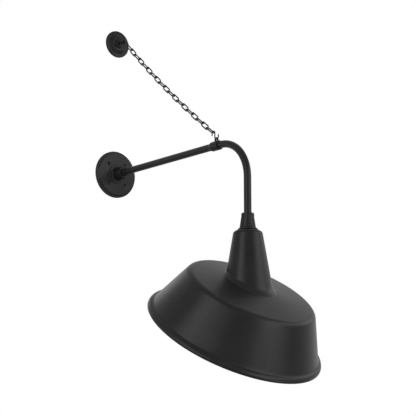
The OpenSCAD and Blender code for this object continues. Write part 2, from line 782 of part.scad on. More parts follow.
// The outline of the bulb's glass, drawn in by a distance, from its foot up to its cap
function glass_outline(inset) =
    let (turn_at = bulb_r * [cos(bulb_turn), sin(bulb_turn)] + [0, bulb_mid],
         slope = (turn_at[0] - bulb_neck_r) / sin(bulb_turn),
         slope_to = turn_at + slope_share * slope * [-sin(bulb_turn), cos(bulb_turn)],
         neck_foot = slope_to[1] + slope / 2)
    concat(
        arc_points([0, bulb_mid], bulb_r - inset, -90, bulb_turn, 16),
        [slope_to - [inset, 0], [bulb_neck_r - inset, neck_foot], [bulb_neck_r - inset, bulb_cap_foot]]);

module bulb_glass() {
    inner = glass_outline(glass_t);
    color("#f4f3ee") on_stem() rotate_extrude()
        polygon(concat(glass_outline(0), [for (i = [len(inner) - 1:-1:0]) inner[i]]));
}

module bulb_cap() {
    r = bulb_cap_d / 2;
    thread_top = bulb_tip - foot_h - glass_bead_h;
    thread_foot = thread_top - thread_turns * thread_pitch;
    thread_lead = 1;
    color(steel) on_stem() rotate_extrude() polygon(concat(
        [[cap_bore_r, bulb_cap_foot], [r, bulb_cap_foot], [r, thread_foot - thread_lead]],
        [for (i = [0:thread_turns - 1]) each [
            [r - thread_ridge, thread_foot + i * thread_pitch],
            [r, thread_foot + (i + 0.5) * thread_pitch]]],
        [[r - thread_ridge, thread_top], [cap_bore_r, thread_top]]));
}

module bulb_foot() {
    button_r = 5.5;
    button_draft = 1;
    tip_r = 3.5;
    bevel = 0.5;
    top = glass_bead_h + foot_h;
    color("#3a342e") on_stem(bulb_tip - top) rotate_extrude() polygon([
        [0, 0], [bulb_cap_d / 2 - foot_in, 0], [button_r, glass_bead_h],
        [button_r - button_draft, top - bevel], [tip_r, top], [0, top]]);
}

wall_flange();
lock_ring();
lock_ring_screw();
arm_pipe();
chain_collar();
collar_screws();
gooseneck_pipe();
supply_lead(0);  // lead_live
supply_lead(1);  // lead_neutral
supply_lead(2);  // lead_earth
anchor_plate();
anchor_eye();
for (n = [1:link_count]) link(n);
s_hook();
shade_holder();
holder_screw();
holder_ring();
neck();
shade();
stem_nipple();
nipple_nut();
socket_cap();
socket_body();
screw_shell();
centre_contact();
terminal_screws();
socket_lead(0);  // socket_lead_live
socket_lead(1);  // socket_lead_neutral
socket_lead(2);  // socket_lead_earth
bulb_glass();
bulb_cap();
bulb_foot();
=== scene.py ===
"""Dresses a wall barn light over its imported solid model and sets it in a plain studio.

The light is a spun steel shade on a gooseneck of half-inch pipe. The pipe is screwed into a round
wall flange, and a chain from an eye plate higher up the wall stays the arm. Sizes are written in
millimetres, as on a drawing, and turned to metres where a mesh is made.
"""

import logging
import math
from dataclasses import dataclass
from enum import Enum
from typing import Callable, Iterable, Sequence

import bmesh
import bpy
from bpy.types import Material, Mesh, Node, NodeSocket, NodeTree, Object
from mathutils import Matrix, Vector


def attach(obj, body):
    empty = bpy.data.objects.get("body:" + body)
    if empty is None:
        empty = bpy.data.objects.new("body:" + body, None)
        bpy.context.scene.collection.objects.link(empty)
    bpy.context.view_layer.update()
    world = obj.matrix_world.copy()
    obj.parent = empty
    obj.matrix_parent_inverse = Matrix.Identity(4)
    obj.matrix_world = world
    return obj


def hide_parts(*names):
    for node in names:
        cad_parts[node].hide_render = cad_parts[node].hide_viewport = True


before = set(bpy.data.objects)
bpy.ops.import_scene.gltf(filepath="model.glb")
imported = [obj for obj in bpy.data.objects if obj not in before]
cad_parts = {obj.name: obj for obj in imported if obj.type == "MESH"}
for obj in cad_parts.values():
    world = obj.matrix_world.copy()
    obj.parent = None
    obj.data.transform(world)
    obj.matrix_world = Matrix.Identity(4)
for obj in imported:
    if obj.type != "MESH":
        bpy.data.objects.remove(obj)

log = logging.getLogger("barn_light")

MM = 0.001
# Points closer than this, in metres, are one point.
MERGE = 1e-7
# How far a cutter runs past what it cuts, and how long one through a wall is.
PAST = 2.0
CUTTER = 20.0
Pair = tuple[float, float]
Point = tuple[float, float, float]
Shaper = Callable[[float, float, float], float]

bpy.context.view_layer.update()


class Body(Enum):
    """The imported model's bodies, which the pieces ride on."""

    ARM = "arm"
    CHAIN = "chain"
    LAMP_HEAD = "lamp_head"
    BULB = "bulb"


class Slot(Enum):
    """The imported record's material slots."""

    BLACK = "black_powder_coat"
    PLATED = "plated_steel"
    PORCELAIN = "porcelain"
    BRASS = "brass"
    GLASS = "frosted_glass"
    BULB_CAP = "bulb_cap_metal"


# Places


@dataclass(frozen=True)
class Layout:
    """Where the main pieces sit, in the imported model's frame, in millimetres."""

    arm_reach: float = 645.0
    bend_r: float = 114.5
    pipe_r: float = 10.65
    pipe_wall: float = 2.75
    fit_gap: float = 0.05
    anchor_z: float = 443.089
    collar_reach: float = 526.0
    collar_len: float = 38.0
    lug_y: float = -512.0
    lug_z: float = 19.0
    holder_foot: float = -261.8
    neck_top: float = -266.7
    stem_end: float = -237.5
    nipple_r: float = 5.2
    eye_reach: float = 41.5
    socket_foot: float = -339.7
    shade_y: float = -674.3
    shade_z: float = -416.1
    shade_tilt: float = math.radians(33.3)

    @property
    def pipe_bore(self) -> float:
        """Radius of the pipe's bore."""
        return self.pipe_r - self.pipe_wall

    @property
    def seat(self) -> float:
        """Radius of a hole that the pipe is screwed or slid into."""
        return self.pipe_r + self.fit_gap

    @property
    def collar_mid(self) -> float:
        """Distance from the wall to the joint of the two pipes in the collar."""
        return self.collar_reach - self.collar_len / 2

    def on_wall(self, reach: float = 0.0, height: float = 0.0) -> Matrix:
        """Stands a shape on the wall, so that its +Z points away from the wall.

        Args:
            reach: Distance of the shape's foot from the wall.
            height: Height of its axis above the arm.

        Returns:
            The matrix from the shape's own metres to the frame's.
        """
        return Matrix.Translation((0, -reach * MM, height * MM)) @ Matrix.Rotation(math.pi / 2, 4, "X")

    def on_stem(self, height: float) -> Matrix:
        """Returns the place of a shape on the stem's vertical axis at a height."""
        return Matrix.Translation((0, -self.arm_reach * MM, height * MM))

    def in_shade(self) -> Matrix:
        """Returns the tilted place of a shape whose origin is the middle of the shade's top."""
        middle = Matrix.Translation((0, self.shade_y * MM, self.shade_z * MM))
        return middle @ Matrix.Rotation(self.shade_tilt, 4, "X")


PLACE = Layout()
# Lays a shape that stands along Z down along X.
ACROSS = Matrix.Rotation(math.pi / 2, 4, "Y")


def linked(name: str, data: bpy.types.ID) -> Object:
    """Makes an object from its data and puts it into the scene.

    Args:
        name: The object's name.
        data: Its mesh, lamp or camera.

    Returns:
        The object.
    """
    thing = bpy.data.objects.new(name, data)
    bpy.context.scene.collection.objects.link(thing)
    return thing


# Shader nodes


def linear(code: str) -> tuple[float, float, float, float]:
    """Turns an sRGB hex colour to the linear colour that a shader reads.

    Args:
        code: Six hex digits after a hash sign.

    Returns:
        Red, green, blue and an alpha of 1.
    """
    parts = [int(code[i:i + 2], 16) / 255 for i in (1, 3, 5)]
    red, green, blue = (c / 12.92 if c <= 0.04045 else ((c + 0.055) / 1.055) ** 2.4 for c in parts)
    return red, green, blue, 1.0


def add_node(tree: NodeTree, kind: str, inputs: dict | None = None, **settings: object) -> Node:
    """Adds a node, sets it up and joins its inputs.

    Args:
        tree: The shader or geometry tree.
        kind: The node's type name.
        inputs: Socket names or numbers, each with a value or with the output that feeds it.
        **settings: The node's own properties.

    Returns:
        The new node.
    """
    node = tree.nodes.new(kind)
    for name, value in settings.items():
        setattr(node, name, value)
    for key, value in (inputs or {}).items():
        if isinstance(value, NodeSocket):
            tree.links.new(value, node.inputs[key])
        else:
            node.inputs[key].default_value = value
    return node


def cleared(owner: Material | bpy.types.World) -> NodeTree:
    """Turns nodes on for a material or a world.

    Args:
        owner: The material or the world.

    Returns:
        Its tree, emptied.
    """
    owner.use_nodes = True
    owner.node_tree.nodes.clear()
    return owner.node_tree


def combined(tree: NodeTree, operation: str, first: object, second: object) -> NodeSocket:
    """Adds an operation on two numbers to a tree and returns its result."""
    return add_node(tree, "ShaderNodeMath", {0: first, 1: second}, operation=operation).outputs[0]


def set_ramp(node: Node, stops: Sequence[tuple[float, str]]) -> None:
    """Sets the two stops of a colour ramp.

    Args:
        node: The ColorRamp node.
        stops: Positions from 0 to 1, each with a hex colour.
    """
    for element, (at, code) in zip(node.color_ramp.elements, stops):
        element.position = at
        element.color = linear(code)


@dataclass(frozen=True)
class Finish:
    """A surface as it leaves the shop: what it is made of and how it was made.

    Colours are sRGB hex. Grain sizes are in millimetres on the real piece.
    """

    name: str
    colour: str
    colour_b: str
    roughness: float
    roughness_spread: float
    patch_mm: float
    grain_mm: float
    grain_depth_mm: float
    metallic: float = 0.0
    specular: float = 0.5
    coat: float = 0.0
    coat_roughness: float = 0.1
    subsurface: float = 0.0
    stretch: Point = (1.0, 1.0, 1.0)
    detail: float = 3.0
    tone_from: float = 0.3
    tone_to: float = 0.72
    sheen_to: float = 0.7

    def material(self) -> Material:
        """Builds the finish once and returns its material."""
        made = bpy.data.materials.get(self.name)
        return made if made else self._build()

    def _build(self) -> Material:
        """Builds the node tree: broad patches for colour and sheen, fine grain for the bump."""
        material = bpy.data.materials.new(self.name)
        tree = cleared(material)
        where = add_node(tree, "ShaderNodeTexCoord").outputs["Object"]
        turned = add_node(tree, "ShaderNodeMapping", {"Vector": where, "Scale": self.stretch})
        place = turned.outputs["Vector"]
        patches = add_node(tree, "ShaderNodeTexNoise", {
            "Vector": place, "Scale": 1 / (self.patch_mm * MM), "Detail": 4.0, "Roughness": 0.55})
        grain = add_node(tree, "ShaderNodeTexNoise", {
            "Vector": place, "Scale": 1 / (self.grain_mm * MM), "Detail": self.detail, "Roughness": 0.6})
        ramp = add_node(tree, "ShaderNodeValToRGB", {"Fac": patches.outputs["Fac"]})
        set_ramp(ramp, [(self.tone_from, self.colour), (self.tone_to, self.colour_b)])
        shine = add_node(tree, "ShaderNodeMapRange", {
            "Value": patches.outputs["Fac"], "From Min": self.tone_from, "From Max": self.sheen_to,
            "To Min": self.roughness - self.roughness_spread,
            "To Max": self.roughness + self.roughness_spread})
        bump = add_node(tree, "ShaderNodeBump", {
            "Height": self._height(tree, place, grain), "Strength": 1.0,
            "Distance": self.grain_depth_mm * MM})
        shader = add_node(tree, "ShaderNodeBsdfPrincipled", {
            "Base Color": ramp.outputs["Color"], "Roughness": shine.outputs["Result"],
            "Metallic": self.metallic, "Normal": bump.outputs["Normal"],
            "Specular IOR Level": self.specular, "Coat Weight": self.coat,
            "Coat Roughness": self.coat_roughness,
            "Subsurface Weight": self.subsurface, "Subsurface Scale": 2 * MM})
        add_node(tree, "ShaderNodeOutputMaterial", {"Surface": shader.outputs["BSDF"]})
        return material

    def _height(self, tree: NodeTree, place: NodeSocket, grain: Node) -> NodeSocket:
        """Returns the height that the bump reads, which is the plain grain here."""
        return grain.outputs["Fac"]


@dataclass(frozen=True)
class PowderCoat(Finish):
    """Polyester powder baked on steel: a fine orange peel with the odd grain that melted late."""

    peel_mm: float = 9.0
    peel_share: float = 1.6

    def _height(self, tree: NodeTree, place: NodeSocket, grain: Node) -> NodeSocket:
        """Returns the fine grain laid over the slow waves of the orange peel."""
        peel = add_node(tree, "ShaderNodeTexNoise", {
            "Vector": place, "Scale": 1 / (self.peel_mm * MM), "Detail": 1.0})
        waves = combined(tree, "MULTIPLY", peel.outputs["Fac"], self.peel_share)
        return combined(tree, "ADD", waves, grain.outputs["Fac"])


@dataclass(frozen=True)
class TurnedMetal(Finish):
    """Metal that was turned or drawn: faint rings round the stem's axis from the tool."""

    ring_mm: float = 0.9

    def _height(self, tree: NodeTree, place: NodeSocket, grain: Node) -> NodeSocket:
        """Returns tool rings along Z with a little of the grain."""
        rings = add_node(tree, "ShaderNodeTexWave", {
            "Vector": place, "Scale": 1 / (self.ring_mm * MM * math.tau), "Distortion": 0.6, "Detail": 1.0},
            wave_type="BANDS", bands_direction="Z")
        return combined(tree, "ADD", rings.outputs["Fac"], grain.outputs["Fac"])


# Matte black polyester powder coat. It gives a soft, wide highlight and hides the steel.
# Its real grain is about 0.3 mm and is drawn a little coarser, so that it shows close by.
BLACK_COAT = PowderCoat("powder_coat_matte_black", "#0f0f0f", "#131313", 0.36, 0.02, 70.0, 0.9, 0.012,
                        specular=0.11)
# The same powder on chain and hook, which are dipped: rougher, with thin bare corners.
BLACK_DIP = PowderCoat("powder_coat_dipped_chain", "#121212", "#1a1a1a", 0.38, 0.04, 18.0, 0.7, 0.03,
                       specular=0.16, peel_mm=4.0)
# Black oxide on set screws: dark, slightly oily steel.
BLACK_OXIDE = Finish("black_oxide_steel", "#1a1b1c", "#232425", 0.38, 0.06, 6.0, 0.4, 0.01, metallic=0.4)
# White baked enamel inside the shade. It is glossy under a faint peel and throws the light down.
WHITE_ENAMEL = PowderCoat("enamel_white_reflector", "#e4e3de", "#eceae5", 0.24, 0.05, 60.0, 2.0, 0.01,
                          coat=0.3, coat_roughness=0.12)
# Zinc plate on the hollow stem, its nut and the socket's cap: grey, satin, slightly cloudy.
ZINC = TurnedMetal("zinc_plated_steel", "#a9aaa8", "#bdbebb", 0.36, 0.08, 9.0, 0.5, 0.008, metallic=1.0)
# Glazed porcelain socket: warm white, wet-looking, with a slow waviness in the glaze.
PORCELAIN = Finish("porcelain_glazed_white", "#e6e2d6", "#efece2", 0.16, 0.03, 25.0, 5.0, 0.02,
                   coat=0.4, coat_roughness=0.06, subsurface=0.08)
# Drawn brass of the screw shell and contacts.
BRASS = TurnedMetal("brass_drawn", "#c09a4e", "#cda75c", 0.3, 0.06, 7.0, 0.5, 0.008, metallic=1.0)
# Insulation of the leads: PVC with a dull skin.
LEAD_BLACK = Finish("pvc_lead_black", "#1d1d1e", "#232324", 0.5, 0.05, 8.0, 0.6, 0.01)
LEAD_WHITE = Finish("pvc_lead_white", "#dad7cf", "#e4e1da", 0.5, 0.05, 8.0, 0.6, 0.01)
LEAD_GREEN = Finish("pvc_lead_green", "#2f6b3c", "#387646", 0.5, 0.05, 8.0, 0.6, 0.01)
# Acid-frosted glass of the bulb: white, silky, lets light bleed through.
FROSTED = Finish("glass_frosted_white", "#f0efea", "#f4f3ef", 0.42, 0.04, 30.0, 0.5, 0.006, subsurface=0.25)
# Aluminium of the bulb's screw cap.
CAP_METAL = TurnedMetal("aluminium_screw_cap", "#b9b9b7", "#c6c6c4", 0.34, 0.05, 6.0, 0.4, 0.008,
                        metallic=1.0)
# Black glass that insulates the tip of the bulb's cap.
CAP_GLASS = Finish("glass_black_insulator", "#14110f", "#1d1916", 0.12, 0.02, 5.0, 2.0, 0.01)


# Outlines


@dataclass(frozen=True)
class Corner:
    """A corner of a turned outline: its radius and height, and the fillet that rounds it."""

    r: float
    z: float
    fillet: float = 0.0


def polar(radius: float, turn: float) -> Pair:
    """Returns the point at a radius and an angle in radians."""
    return radius * math.cos(turn), radius * math.sin(turn)


def angles(count: int) -> list[float]:
    """Returns the angles, in radians, that share a full turn out evenly."""
    return [math.tau * k / count for k in range(count)]


def shifted(a: Pair, b: Pair) -> Pair:
    """Returns a point moved by the run to another."""
    return a[0] + b[0], a[1] + b[1]


def between(a: Pair, b: Pair, share: float) -> Pair:
    """Returns the point at a share of the way from one point to another."""
    return a[0] + (b[0] - a[0]) * share, a[1] + (b[1] - a[1]) * share


def bent(start: Vector, knee: Vector, end: Vector, steps: int = 12) -> list[Pair]:
    """Returns the points, after the first, of a curve that sets out towards a knee and ends at a point."""
    shares = [i / steps for i in range(1, steps + 1)]
    return [tuple(start * (1 - t) ** 2 + knee * 2 * t * (1 - t) + end * t * t) for t in shares]


def arc(centre: Pair, radius: float, start: float, end: float, steps: int) -> list[Pair]:
    """Returns points along an arc.

    Args:
        centre: The arc's centre.
        radius: Its radius.
        start: Its first angle, in degrees.
        end: Its last angle, in degrees.
        steps: How many chords it is drawn with.

    Returns:
        The points, ends included.
    """
    turns = [math.radians(start + (end - start) * i / steps) for i in range(steps + 1)]
    return [(centre[0] + radius * math.cos(t), centre[1] + radius * math.sin(t)) for t in turns]


def rounded(corners: Sequence[Corner], most: float = 0.49, step: float = 15.0) -> list[Pair]:
    """Rounds the corners of a closed outline.

    Args:
        corners: The outline's corners in order.
        most: The greatest share of an edge that one fillet takes.
        step: The angle of a chord of a fillet, in degrees.

    Returns:
        The outline's points.
    """
    points: list[Pair] = []
    for i, corner in enumerate(corners):
        here = Vector((corner.r, corner.z))
        if corner.fillet <= 0:
            points.append((corner.r, corner.z))
            continue
        before, after = corners[i - 1], corners[(i + 1) % len(corners)]
        to_a = Vector((before.r, before.z)) - here
        to_b = Vector((after.r, after.z)) - here
        half = to_a.angle(to_b) / 2
        reach = min(corner.fillet / math.tan(half), to_a.length * most, to_b.length * most)
        radius = reach * math.tan(half)
        start = here + to_a.normalized() * reach
        end = here + to_b.normalized() * reach
        centre = here + (to_a.normalized() + to_b.normalized()).normalized() * radius / math.sin(half)
        steps = max(2, round(math.degrees(math.pi - 2 * half) / step))
        first, last = start - centre, end - centre
        turn = math.atan2(first.x * last.y - first.y * last.x, first.dot(last))
        for k in range(steps + 1):
            spun = Matrix.Rotation(turn * k / steps, 2) @ first
            points.append((centre.x + spun.x, centre.y + spun.y))
    return points


# Meshes


def mesh_from(name: str, points: Sequence[Point], faces: Sequence[Sequence[int]],
              slots: Sequence[int] = ()) -> Mesh:
    """Makes a closed mesh from points in millimetres, with its faces turned outwards.

    Args:
        name: The mesh's name.
        points: The points.
        faces: Each face's points, by number.
        slots: The number of each face's material, where the piece has more than one.

    Returns:
        The mesh, in metres.
    """
    mesh = bpy.data.meshes.new(name)
    mesh.from_pydata([tuple(c * MM for c in p) for p in points], [], [list(f) for f in faces])
    if slots:
        mesh.polygons.foreach_set("material_index", slots)
    made = bmesh.new()
    made.from_mesh(mesh)
    bmesh.ops.remove_doubles(made, verts=made.verts, dist=MERGE)
    bmesh.ops.recalc_face_normals(made, faces=made.faces)
    made.to_mesh(mesh)
    made.free()
    return mesh


def grid_faces(rows: int, columns: int, wrap_rows: bool, wrap_columns: bool) -> list[list[int]]:
    """Returns the quads of a grid of points.

    Args:
        rows: How many rows the grid has.
        columns: How many points are in a row.
        wrap_rows: Whether the last row joins the first.
        wrap_columns: Whether each row closes on itself.

    Returns:
        The quads, by point number.
    """
    faces = []
    for i in range(rows if wrap_rows else rows - 1):
        for k in range(columns if wrap_columns else columns - 1):
            a, b = i * columns, (i + 1) % rows * columns
            after = (k + 1) % columns
            faces.append([a + k, b + k, b + after, a + after])
    return faces


def lathe(name: str, outline: Sequence[Pair], sides: int = 96, closed: bool = True,
          shape: Shaper | None = None) -> Mesh:
    """Turns an outline round the Z axis.

    Args:
        name: The mesh's name.
        outline: Points as radius and height.
        sides: How many steps the turn has.
        closed: Whether the outline's last point joins its first. An open outline ends on the axis.
        shape: Gives a radius from an angle, a radius and a height, where the piece isn't round.

    Returns:
        The turned mesh.
    """
    points, turns = [], angles(sides)
    for r, z in outline:
        points += [(*polar(shape(t, r, z) if shape else r, t), z) for t in turns]
    return mesh_from(name, points, grid_faces(len(outline), sides, closed, True))


def tube(name: str, path: Sequence[Point], radius: float, sides: int, closed: bool = False) -> Mesh:
    """Draws a round wire along a path in the plane X = 0 or Z = constant.

    Args:
        name: The mesh's name.
        path: The wire's middle line.
        radius: The wire's radius.
        sides: How many sides it has.
        closed: Whether the path's end joins its start; otherwise both ends are domed.

    Returns:
        The wire's mesh.
    """
    line = [Vector(p) for p in path]
    count = len(line)
    ways = []
    for i in range(count):
        before = line[i - 1] if closed or i else line[i]
        after = line[(i + 1) % count] if closed or i < count - 1 else line[i]
        ways.append((after - before).normalized())
    flat = max(range(3), key=lambda a: -sum(abs(w[a]) for w in ways))
    across = Vector([1.0 if a == flat else 0.0 for a in range(3)])
    rings = [(line[i], ways[i], radius) for i in range(count)]
    if not closed:
        domes = [math.radians(a) for a in (8, 26, 45, 62, 78)]
        head = [(line[0] - ways[0] * radius * math.cos(d), ways[0], radius * math.sin(d)) for d in domes]
        tail = [(line[-1] + ways[-1] * radius * math.cos(d), ways[-1], radius * math.sin(d))
                for d in reversed(domes)]
        rings = head + rings + tail
    points = []
    for at, way, r in rings:
        up = way.cross(across)
        points += [tuple(at + across * r * math.cos(t) + up * r * math.sin(t)) for t in angles(sides)]
    faces = grid_faces(len(rings), sides, closed, True)
    if not closed:
        faces += [list(range(sides)), list(range(len(points) - sides, len(points)))]
    return mesh_from(name, points, faces)


def moved(mesh: Mesh, place: Matrix) -> Mesh:
    """Moves a mesh's points by a matrix and returns the mesh."""
    mesh.transform(place)
    return mesh


def evaluated(thing: Object, name: str) -> Mesh:
    """Applies an object's modifiers and removes the object.

    Args:
        thing: The object.
        name: The mesh's name.

    Returns:
        The plain mesh.
    """
    graph = bpy.context.evaluated_depsgraph_get()
    mesh = bpy.data.meshes.new_from_object(thing.evaluated_get(graph), depsgraph=graph)
    mesh.name = name
    bpy.data.objects.remove(thing)
    return mesh


def carved(mesh: Mesh, tools: Iterable[tuple[str, Mesh]]) -> Mesh:
    """Joins meshes to a mesh or cuts them from it.

    Args:
        mesh: The mesh that is worked on.
        tools: Pairs of UNION or DIFFERENCE and the mesh that is joined or cut away.

    Returns:
        The finished mesh.
    """
    base = linked("carving", mesh)
    helpers = []
    for operation, tool in tools:
        helper = linked("carving_tool", tool)
        helpers.append(helper)
        step = base.modifiers.new("step", "BOOLEAN")
        step.operation, step.object, step.solver = operation, helper, "EXACT"
    bpy.context.view_layer.update()
    made = evaluated(base, mesh.name)
    for helper in helpers:
        bpy.data.objects.remove(helper)
    return made


def drill(radius: float, length: float, sides: int = 40) -> Mesh:
    """Returns a round bar that stands on the floor, to cut a hole with."""
    return lathe("drill", [(0, 0), (radius, 0), (radius, length), (0, length)], sides, False)


def add_piece(name: str, mesh: Mesh, finish: Finish, body: Body, slot: Slot,
              nodes: Sequence[str], sharp: float = 40.0) -> None:
    """Adds a finished piece to the scene and seats it on its body.

    Args:
        name: The piece's name.
        mesh: Its mesh, already in place.
        finish: Its finish; a mesh that has materials of its own keeps them.
        body: The body that it rides on.
        slot: The record's slot that it takes its finish from; not used.
        nodes: The solid model's nodes that it stands for.
        sharp: The edge angle, in degrees, past which shading breaks.
    """
    mesh.name = name
    if not mesh.materials:
        mesh.materials.append(finish.material())
    mesh.polygons.foreach_set("use_smooth", [True] * len(mesh.polygons))
    mesh.set_sharp_from_angle(angle=math.radians(sharp))
    piece = linked(name, mesh)
    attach(piece, body.value)
    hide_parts(*nodes)
    log.info("%s: %d faces on %s", name, len(mesh.polygons), body.value)


def add_black(name: str, mesh: Mesh, body: Body, node: str, sharp: float = 40.0) -> None:
    """Adds a powder coated piece that stands for one of the solid model's nodes."""
    add_piece(name, mesh, BLACK_COAT, body, Slot.BLACK, [node], sharp)


# Geometry trees


class GeometryTree:
    """A geometry tree with named inputs that is run once on a small start mesh."""

    def __init__(self, name: str, start: Mesh) -> None:
        """Makes an empty tree.

        Args:
            name: The tree's name.
            start: The mesh that the tree starts from.
        """
        self.name = name
        self.start = start
        self.tree = bpy.data.node_groups.new(name, "GeometryNodeTree")
        self.tree.interface.new_socket("Geometry", in_out="INPUT", socket_type="NodeSocketGeometry")
        self.tree.interface.new_socket("Geometry", in_out="OUTPUT", socket_type="NodeSocketGeometry")
        self.values: dict[str, object] = {}
        self.entry = self.tree.nodes.new("NodeGroupInput")

    def value(self, name: str, kind: str, number: object) -> NodeSocket:
        """Adds a named input.

        Args:
            name: The input's name.
            kind: Float, Int, Vector or Material.
            number: What the input is set to.

        Returns:
            The socket that gives the value inside the tree.
        """
        socket = self.tree.interface.new_socket(name, in_out="INPUT", socket_type="NodeSocket" + kind)
        self.values[socket.identifier] = number
        return self.entry.outputs[name]

    def add(self, kind: str, inputs: dict | None = None, **settings: object) -> Node:
        """Adds a node to the tree, as add_node does."""
        return add_node(self.tree, kind, inputs, **settings)

    def math(self, operation: str, first: object, second: object) -> NodeSocket:
        """Adds an operation on two numbers and returns its result."""
        return combined(self.tree, operation, first, second)

    def scaled(self, vector: object, factor: object) -> NodeSocket:
        """Adds a vector times a number and returns its result."""
        made = self.add("ShaderNodeVectorMath", {0: vector, "Scale": factor}, operation="SCALE")
        return made.outputs["Vector"]

    def added(self, first: object, second: object) -> NodeSocket:
        """Adds two vectors and returns their sum."""
        return self.add("ShaderNodeVectorMath", {0: first, 1: second}, operation="ADD").outputs["Vector"]

    def circle(self, sides: object, radius: object) -> Node:
        """Adds a ring with a number of sides and returns its node."""
        return self.add("GeometryNodeCurvePrimitiveCircle", {"Resolution": sides, "Radius": radius})

    def swept(self, curve: Node, ring: Node) -> Node:
        """Sweeps a ring along a curve and returns the node."""
        return self.add("GeometryNodeCurveToMesh", {
            "Curve": curve.outputs[0], "Profile Curve": ring.outputs[0]})

    def run(self, shape: NodeSocket, finish: Finish) -> Mesh:
        """Ends the tree, runs it and returns a plain mesh.

        Args:
            shape: The geometry that the tree has made.
            finish: The finish that its faces get.

        Returns:
            The mesh, with no modifier left.
        """
        material = self.value("Finish", "Material", finish.material())
        solid = self.add("GeometryNodeRealizeInstances", {0: shape})
        dressed = self.add("GeometryNodeSetMaterial", {"Geometry": solid.outputs[0], "Material": material})
        self.add("NodeGroupOutput", {0: dressed.outputs[0]})
        thing = linked(self.name, self.start)
        modifier = thing.modifiers.new(self.name, "NODES")
        modifier.node_group = self.tree
        for identifier, number in self.values.items():
            modifier[identifier] = number
        thing.update_tag()
        bpy.context.view_layer.update()
        return evaluated(thing, self.name)


def pipe_along(name: str, path: Sequence[Point], radius: float, wall: float, finish: Finish) -> Mesh:
    """Sweeps a hollow pipe along a path with a geometry tree.

    Args:
        name: The mesh's name.
        path: The pipe's middle line.
        radius: The pipe's outer radius.
        wall: Its wall.
        finish: Its finish.

    Returns:
        The pipe, open at both ends, with a wall of its own.
    """
    line = bpy.data.meshes.new(name + "_line")
    line.from_pydata([tuple(c * MM for c in p) for p in path], [(i, i + 1) for i in range(len(path) - 1)], [])
    tree = GeometryTree(name, line)
    outer = tree.value("Pipe radius", "Float", radius * MM)
    thickness = tree.value("Pipe wall", "Float", wall * MM)
    sides = tree.value("Sides", "Int", 48)
    curve = tree.add("GeometryNodeMeshToCurve", {0: tree.entry.outputs["Geometry"]})
    both = tree.add("GeometryNodeJoinGeometry")
    for ring_r in (outer, tree.math("SUBTRACT", outer, thickness)):
        skin = tree.swept(curve, tree.circle(sides, ring_r))
        tree.tree.links.new(skin.outputs[0], both.inputs[0])
    mesh = tree.run(both.outputs[0], finish)
    made = bmesh.new()
    made.from_mesh(mesh)
    open_edges = [e for e in made.edges if e.is_boundary]
    for start in (True, False):
        bmesh.ops.bridge_loops(made, edges=[e for e in open_edges if near(e, line) == start])
    bmesh.ops.recalc_face_normals(made, faces=made.faces)
    made.to_mesh(mesh)
    made.free()
    return mesh


def near(edge: bmesh.types.BMEdge, line: Mesh, reach: float = 30.0) -> bool:
    """Tells whether an edge lies at the start of a line, within a reach in millimetres."""
    middle = (edge.verts[0].co + edge.verts[1].co) / 2
    return (middle - line.vertices[0].co).length < reach * MM


# Wall side


